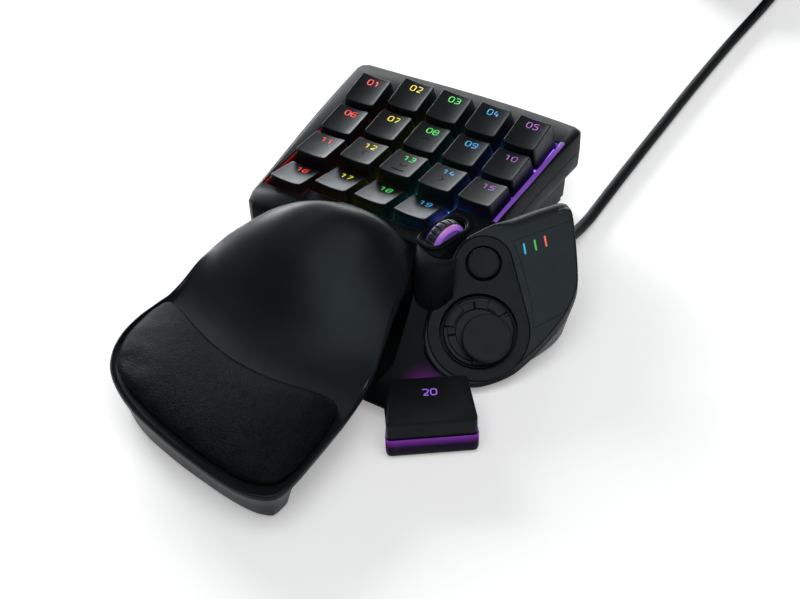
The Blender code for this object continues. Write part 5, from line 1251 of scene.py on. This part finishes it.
def dropOutline(plan, more):
    # two circles and their common tangents
    centre = np.array(plan["buttonAt"])
    run, heading = np.hypot(*centre), np.arctan2(centre[1], centre[0])
    lean = np.arccos((plan["wide"] - plan["narrow"]) / run)
    a = heading + lean + (2 * pi - 2 * lean) * np.linspace(0, 1, 61)
    b = heading - lean + 2 * lean * np.linspace(0, 1, 31)
    wide = (plan["wide"] + more) * np.stack([np.cos(a), np.sin(a)], -1)
    narrow = centre + (plan["narrow"] + more) * np.stack([np.cos(b), np.sin(b)], -1)
    return np.vstack([wide, narrow])


def hollowed(piece, cuts, operation="DIFFERENCE"):
    # cuts each prism out of the piece, or keeps only what lies in it
    tools = []
    for loop, low, high, place in cuts:
        grid = laid(np.stack([raised(loop, low), raised(loop, high)]), place)
        mesh = newMesh("tool", grid, gridFaces(2, len(loop), first=True, last=True))
        turnOutward(mesh)
        tools.append(newObject("tool", mesh))
        cut = piece.modifiers.new("cut", "BOOLEAN")
        cut.solver = "EXACT"
        cut.operation = operation
        cut.object = tools[-1]
    made = bpy.data.meshes.new_from_object(piece.evaluated_get(bpy.context.evaluated_depsgraph_get()))
    piece.modifiers.clear()
    made.name = piece.data.name
    piece.data = made
    for tool in tools:
        bpy.data.objects.remove(tool, do_unlink=True)
    made.shade_smooth()
    made.set_sharp_from_angle(angle=radians(modulePlan["sharp"]))


def moduleRows(plan):
    outline = closedCurve(np.array(plan["outlineShares"]) * spanMm, 6)
    x, y = outline.T / spanMm
    # beyond a line the edge rounds over as an ellipse; elsewhere it is small
    start, slope, middle = plan["farLine"]
    beyond = y - (start + slope * (x - middle)) - plan["farFrom"]
    far = eased(beyond / plan["farRun"]) * eased((x - plan["fadeFrom"]) / plan["fadeRun"])
    reach, fall = (plan["edge"] + (plan[key] - plan["edge"]) * far for key in ("shoulder", "shoulderDrop"))
    crown = drawn(laid(raised(outline, 0), facePlace))
    foot = raised(insetLoop(crown[:, :2], plan["footInset"]), plan["foot"])
    lip = np.minimum(plan["lip"] + fall, (crown[:, 2] - plan["foot"]) / 2)
    side = crown - raised(outline * 0, lip)
    rows = [foot * (1 - t) + side * t for t in plan["wallShares"]]
    for t in np.radians(plan["edgeTurns"]):
        edge = raised(insetLoop(outline, reach * (1 - np.cos(t))), -fall * (1 - np.sin(t)))
        rows.append(drawn(laid(edge, facePlace)))
    return rows


def addModule(plan, drop):
    rows = moduleRows(plan)
    piece, panel = (skinned(name, rows, table, "base", modulePlastic, (node,), first=True, last=True)
                    for name, node in (("moduleShell", "module_shell"), ("sidePanel", "side_panel")))
    above, panelLoop = plan["above"], np.array(panelShares) * spanMm
    hollowed(panel, [(panelLoop, -plan["panelDepth"], above, facePlace)], "INTERSECT")
    wells = ((dropOutline(drop, drop["gap"]), drop["depth"]), (circle(drop["well"]), drop["wellDepth"]),
             (circle(drop["pit"]), drop["pitDepth"]),
             (circle(drop["recess"], 60, drop["buttonAt"]), drop["recessDepth"]),
             (insetLoop(panelLoop, -plan["seam"]), plan["seamDepth"]))
    cuts = [(loop, -depth, above, facePlace) for loop, depth in wells]
    hollowed(piece, cuts + [(circle(plan["cableHole"], 40), *plan["cableHoleSpan"], bootPlace)])


addModule(modulePlan, dropPlan)
softened("thumb_faceplate", "facePlate", 0.7, platePlastic, 4, angle=40)

lightPlan = {"at": ((17.4, 34.2), (21.65, 35.8), (25.65, 37.5)), "turn": 11, "length": 4.6, "width": 0.75,
             "cornerShare": 0.45, "low": -1.0, "high": 0.12, "soft": 0.08}


def addLightBars(plan):
    high, soft = plan["high"], plan["soft"]
    loop = roundedLoop(plan["width"], plan["length"], plan["width"] * plan["cornerShare"], 4, 3)
    rows = [raised(loop, plan["low"]), raised(loop, high - soft), raised(insetLoop(loop, soft), high)]
    for number, (at, look) in enumerate(zip(plan["at"], (blueGlow, greenGlow, amberGlow)), start=1):
        place = facePlace @ placeAt(*at, 0, (plan["turn"], "Z"))
        skinned("lightBar%d" % number, rows, place, "base", look, ("indicator_light_%d" % number,),
                first=True, last=True)


addLightBars(lightPlan)
print("module made")


# Round button, thumb pad and stick

buttonPlan = {"radius": 6.5, "height": 1.6, "depth": 5.5, "soft": 0.5,
              "domeShares": ((1, 0.45), (0.97, 0.8), (0.8, 0.93), (0.5, 0.98), (0, 1))}
padPlan = {
    "radius": 14.4, "top": 6.8, "thick": 2.0, "gimbal": 4.2, "gimbalTop": 3.4, "seat": 0.3, "sides": 288,
    "blocks": ((10, 20, 1.25), (54, 18, 1.35), (150, 23, 1.35), (283, 23, 1.25)),  # angle, half width, height
    "blockFrom": 0.66, "blockSoft": 0.8, "slant": 0.30, "slantFrom": 0.80, "slantRun": 0.2,
    "fineShares": (0.965, 0.61, 34), "innerShares": (0.60, 0.3, 4), "underEdge": (0.5, 0.4),
    "ringFrom": 0.625, "ringRise": 0.75, "stepFrom": 0.84, "stepFall": 2.3, "run": 0.02,
    "face": 0.7, "rimFrom": 0.985, "rimRun": 0.05,
    "notchAt": 10, "notchEvery": 90, "notchHalf": 1.6, "notchSoft": 0.8, "notchDepth": 0.45,
}
stickPlan = {
    "at": (3.3, -3.7), "radius": 9.9, "height": 4.8, "base": 0.9, "tab": 1.3, "stemLift": 0.15, "soft": 0.6,
    "neckShares": (0.35, 0.4, 0.94),
    "crownSteps": ((1, 0.9), (0.975, 0.35), (0.92, 0.05), (0.84, 0.12), (0.6, 0.2475), (0.3, 0.405),
                   (0, 0.45)),
}


def addButton(plan):
    r, h, deep = plan["radius"], plan["height"], plan["depth"]
    profile = [(0, -deep), (r / 2, -deep), (r / 2, -h), (r, -h)]
    profile += [(r * wide, h * high) for wide, high in plan["domeShares"]]
    place = facePlace @ placeAt(*dropPlan["buttonAt"], 0)
    turnedPiece("roundButton", profile, place, "thumb_button", platePlastic, ("thumb_button",),
                soft=plan["soft"])


def addPad(plan):
    # height over angle and radius: a stepped ring, with raised blocks and a notch in each lower stretch
    sides, radius, top = plan["sides"], plan["radius"], plan["top"]
    turn = 2 * pi * np.arange(sides) / sides
    a = np.degrees(turn)
    fine, inner = (np.linspace(*plan[key]) for key in ("fineShares", "innerShares"))
    shares = np.concatenate([[1, plan["rimFrom"]], fine, inner, [0]])[:, None]

    def beyond(start, run=plan["run"]):
        return eased((shares - start) / run)

    ring, step = beyond(plan["ringFrom"]), beyond(plan["stepFrom"])
    rim = eased((plan["rimFrom"] - shares) / plan["rimRun"])
    slope = beyond(plan["blockFrom"]) * (1 - plan["slant"] * beyond(plan["slantFrom"], plan["slantRun"]))
    lift, soft = 0 * shares * a, plan["blockSoft"]
    for angle, half, height in plan["blocks"]:
        off = np.abs((a - angle + 180) % 360 - 180)
        lift = np.maximum(lift, eased((half + soft - off) / (2 * soft)) * height * slope)
    every = plan["notchEvery"]
    off = np.abs((a - plan["notchAt"] + every / 2) % every - every / 2)
    notch = plan["notchDepth"] * eased((plan["notchHalf"] - off) / plan["notchSoft"])
    level = plan["ringRise"] * ring - plan["stepFall"] * step - notch * ring * (1 - step)
    z = top - plan["face"] * (2 - rim) + np.maximum(lift, level) * rim
    under, seat = top - plan["thick"], plan["gimbalTop"] + plan["seat"]
    inset, rise = plan["underEdge"]
    rows = [turned(0, seat, turn), turned(plan["gimbal"], seat, turn), turned(radius - inset, under, turn),
            turned(radius, under + rise, turn), *turned(radius * shares, z, turn)]
    skinned("thumbPad", rows, padPlace, "stick", padDark, ("thumb_pad",), crease=32)


def addStick(plan):
    top, r, tab = padPlan["top"], plan["radius"], plan["tab"]
    base, crown = top + plan["base"], top + plan["height"]
    stem = top - padPlan["thick"] / 3 + plan["stemLift"]
    neck, flare, under = (r * share for share in plan["neckShares"])
    profile = [(0, stem), (neck, stem), (flare, base + tab), (under, base + tab), (r, base + 2 * tab)]
    profile += [(r * share, crown - drop) for share, drop in plan["crownSteps"]]
    turnedPiece("stickCap", profile, padPlace, "stick", padRubber, ("stick_cap",), 96, plan["soft"],
                plan["at"])


addButton(buttonPlan)
addPad(padPlan)
addStick(stickPlan)
print("thumb controls made")


# Ribbed boot of the cable

bootPlan = {"hole": 2.65, "sink": 6.0, "out": 3.6, "length": 12.5, "radius": 4.2, "tip": 3.4, "groove": 0.15,
            "ribs": 4, "soft": 0.25}


def addBoot(plan):
    # ribs that taper towards the tip, each as long as the groove after it
    hole, tip, sink, out, ribs = (plan[key] for key in ("hole", "tip", "sink", "out", "ribs"))
    rib, low = plan["length"] / (2 * ribs + 1), tip - plan["groove"]
    profile = [(hole, -sink), (tip, -sink), (tip, out)]
    for i in range(ribs):
        at, reach = out + 2 * rib * i, plan["radius"] - (plan["radius"] - tip) * i / ribs
        profile += [(reach, at), (reach, at + rib), (low, at + rib), (low, at + 2 * rib)]
    profile += [(hole, out + 2 * rib * ribs), (hole, -sink)]
    turnedPiece("cableBoot", profile, bootPlace, "base", blackRubber, ("strain_relief",), 48, plan["soft"])


addBoot(bootPlan)
print("boot made")


# Finishes of the solids that show as they are

solidFinishes = (
    (plateGlow, "light_diffuser"), (board, "circuit_board"), (darkPlastic, "base_plate"),
    (hubGlow, "wheel_hub"), (steel, "plug_shell"),
    (innerPlastic, "switch_plate wheel_carrier pad_gimbal palm_slider guide_channel"),
    (blackRubber, "cable_tie plug_overmould foot_left foot_right foot_near foot_module"),
    (blackRubber, "palm_foot_left palm_foot_right"),
)
for look, names in solidFinishes:
    for node in names.split():
        nodes[node].data.materials.clear()
        nodes[node].data.materials.append(look)
print("solids finished")


# Floor, light and view

studioPlan = {
    "floorHalf": 4.0, "floorCells": 8, "floorColour": (0.92, 0.92, 0.925), "floorLift": 0.27,
    "floorClouds": 0.995, "skyTint": (0.94, 0.98, 1, 1), "skyFront": 0.22, "skyBack": 1.1, "skyHigh": 0.06,
    "band": (0.10, 0.36), "backWay": (-0.5, 0.866, 0), "backBand": (-0.1, 0.7), "lampTarget": (0, 0, 0.02),
    "lamps": (
        ("softbox", (-1.60, 0.95, 0.72), (0.85, 0.5), 30),
        ("rear", (-0.85, 1.80, 0.50), (1.6, 0.5), 17),
        ("overhead", (0.55, -0.60, 2.2), (2.4, 2.4), 38),
    ),
}


def addFloor(plan):
    cells, colour = plan["floorCells"], plan["floorColour"]
    side = np.linspace(-plan["floorHalf"], plan["floorHalf"], cells + 1)
    x, y = np.meshgrid(side, side)
    i = (np.arange(cells)[:, None] * (cells + 1) + np.arange(cells)).reshape(-1)
    faces = np.stack([i, i + 1, i + cells + 2, i + cells + 1], -1).tolist()
    mesh = newMesh("floor", np.stack([x, y, 0 * x], -1), faces)
    look, tree, shader = newLook("paleFloor", colour, 0.9, 0.0)
    low = [c * plan["floorClouds"] for c in colour]
    clouds = rampOn(tree, noiseOn(tree, whereOn(tree), 3), ((0.3, low), (0.7, colour)))
    tree.links.new(clouds, shader.inputs["Base Color"])
    # the rays of a view, a gloss or a lens see it a little lifted, its shadows kept
    path = addNode(tree, "LightPath")
    seen = mathOn(tree, "MAXIMUM", path.outputs["Is Camera Ray"], path.outputs["Is Glossy Ray"])
    seen = mathOn(tree, "MAXIMUM", seen, path.outputs["Is Transmission Ray"])
    shader.inputs["Emission Color"].default_value = (1, 1, 1, 1)
    tree.links.new(mathOn(tree, "MULTIPLY", seen, plan["floorLift"]), shader.inputs["Emission Strength"])
    mesh.materials.append(look)
    floor = newObject("floor", mesh)


def addSky(plan):
    # dim overhead, paler towards the horizon, palest behind the object
    world = bpy.data.worlds.new("studio")
    bpy.context.scene.world = world
    world.use_nodes = True
    tree = world.node_tree
    way = addNode(tree, "TexCoord").outputs["Generated"]
    low = rangeOn(tree, partsOn(tree, way)[2], 1, 0, *plan["band"])
    back = addNode(tree, "VectorMath", operation="DOT_PRODUCT")
    tree.links.new(way, back.inputs[0])
    back.inputs[1].default_value = plan["backWay"]
    side = rangeOn(tree, back.outputs["Value"], plan["skyFront"], plan["skyBack"], *plan["backBand"])
    strength = mathOn(tree, "ADD", mathOn(tree, "MULTIPLY", low, side), plan["skyHigh"])
    tree.nodes["Background"].inputs["Color"].default_value = plan["skyTint"]
    tree.links.new(strength, tree.nodes["Background"].inputs["Strength"])


def addLamps(plan):
    target = Matrix.Translation(plan["lampTarget"]).translation
    for name, at, size, power in plan["lamps"]:
        lamp = newObject(name, bpy.data.lights.new(name, "AREA"))
        lamp.data.shape = "RECTANGLE"
        lamp.data.size, lamp.data.size_y = size
        lamp.data.energy = power
        place = Matrix.Translation(at)
        aim = (place.translation - target).to_track_quat("Z", "Y")
        lamp.matrix_world = place @ aim.to_matrix().to_4x4()


addFloor(studioPlan)
addSky(studioPlan)
addLamps(studioPlan)
bpy.context.scene.view_settings.view_transform = "Standard"
print("studio set")
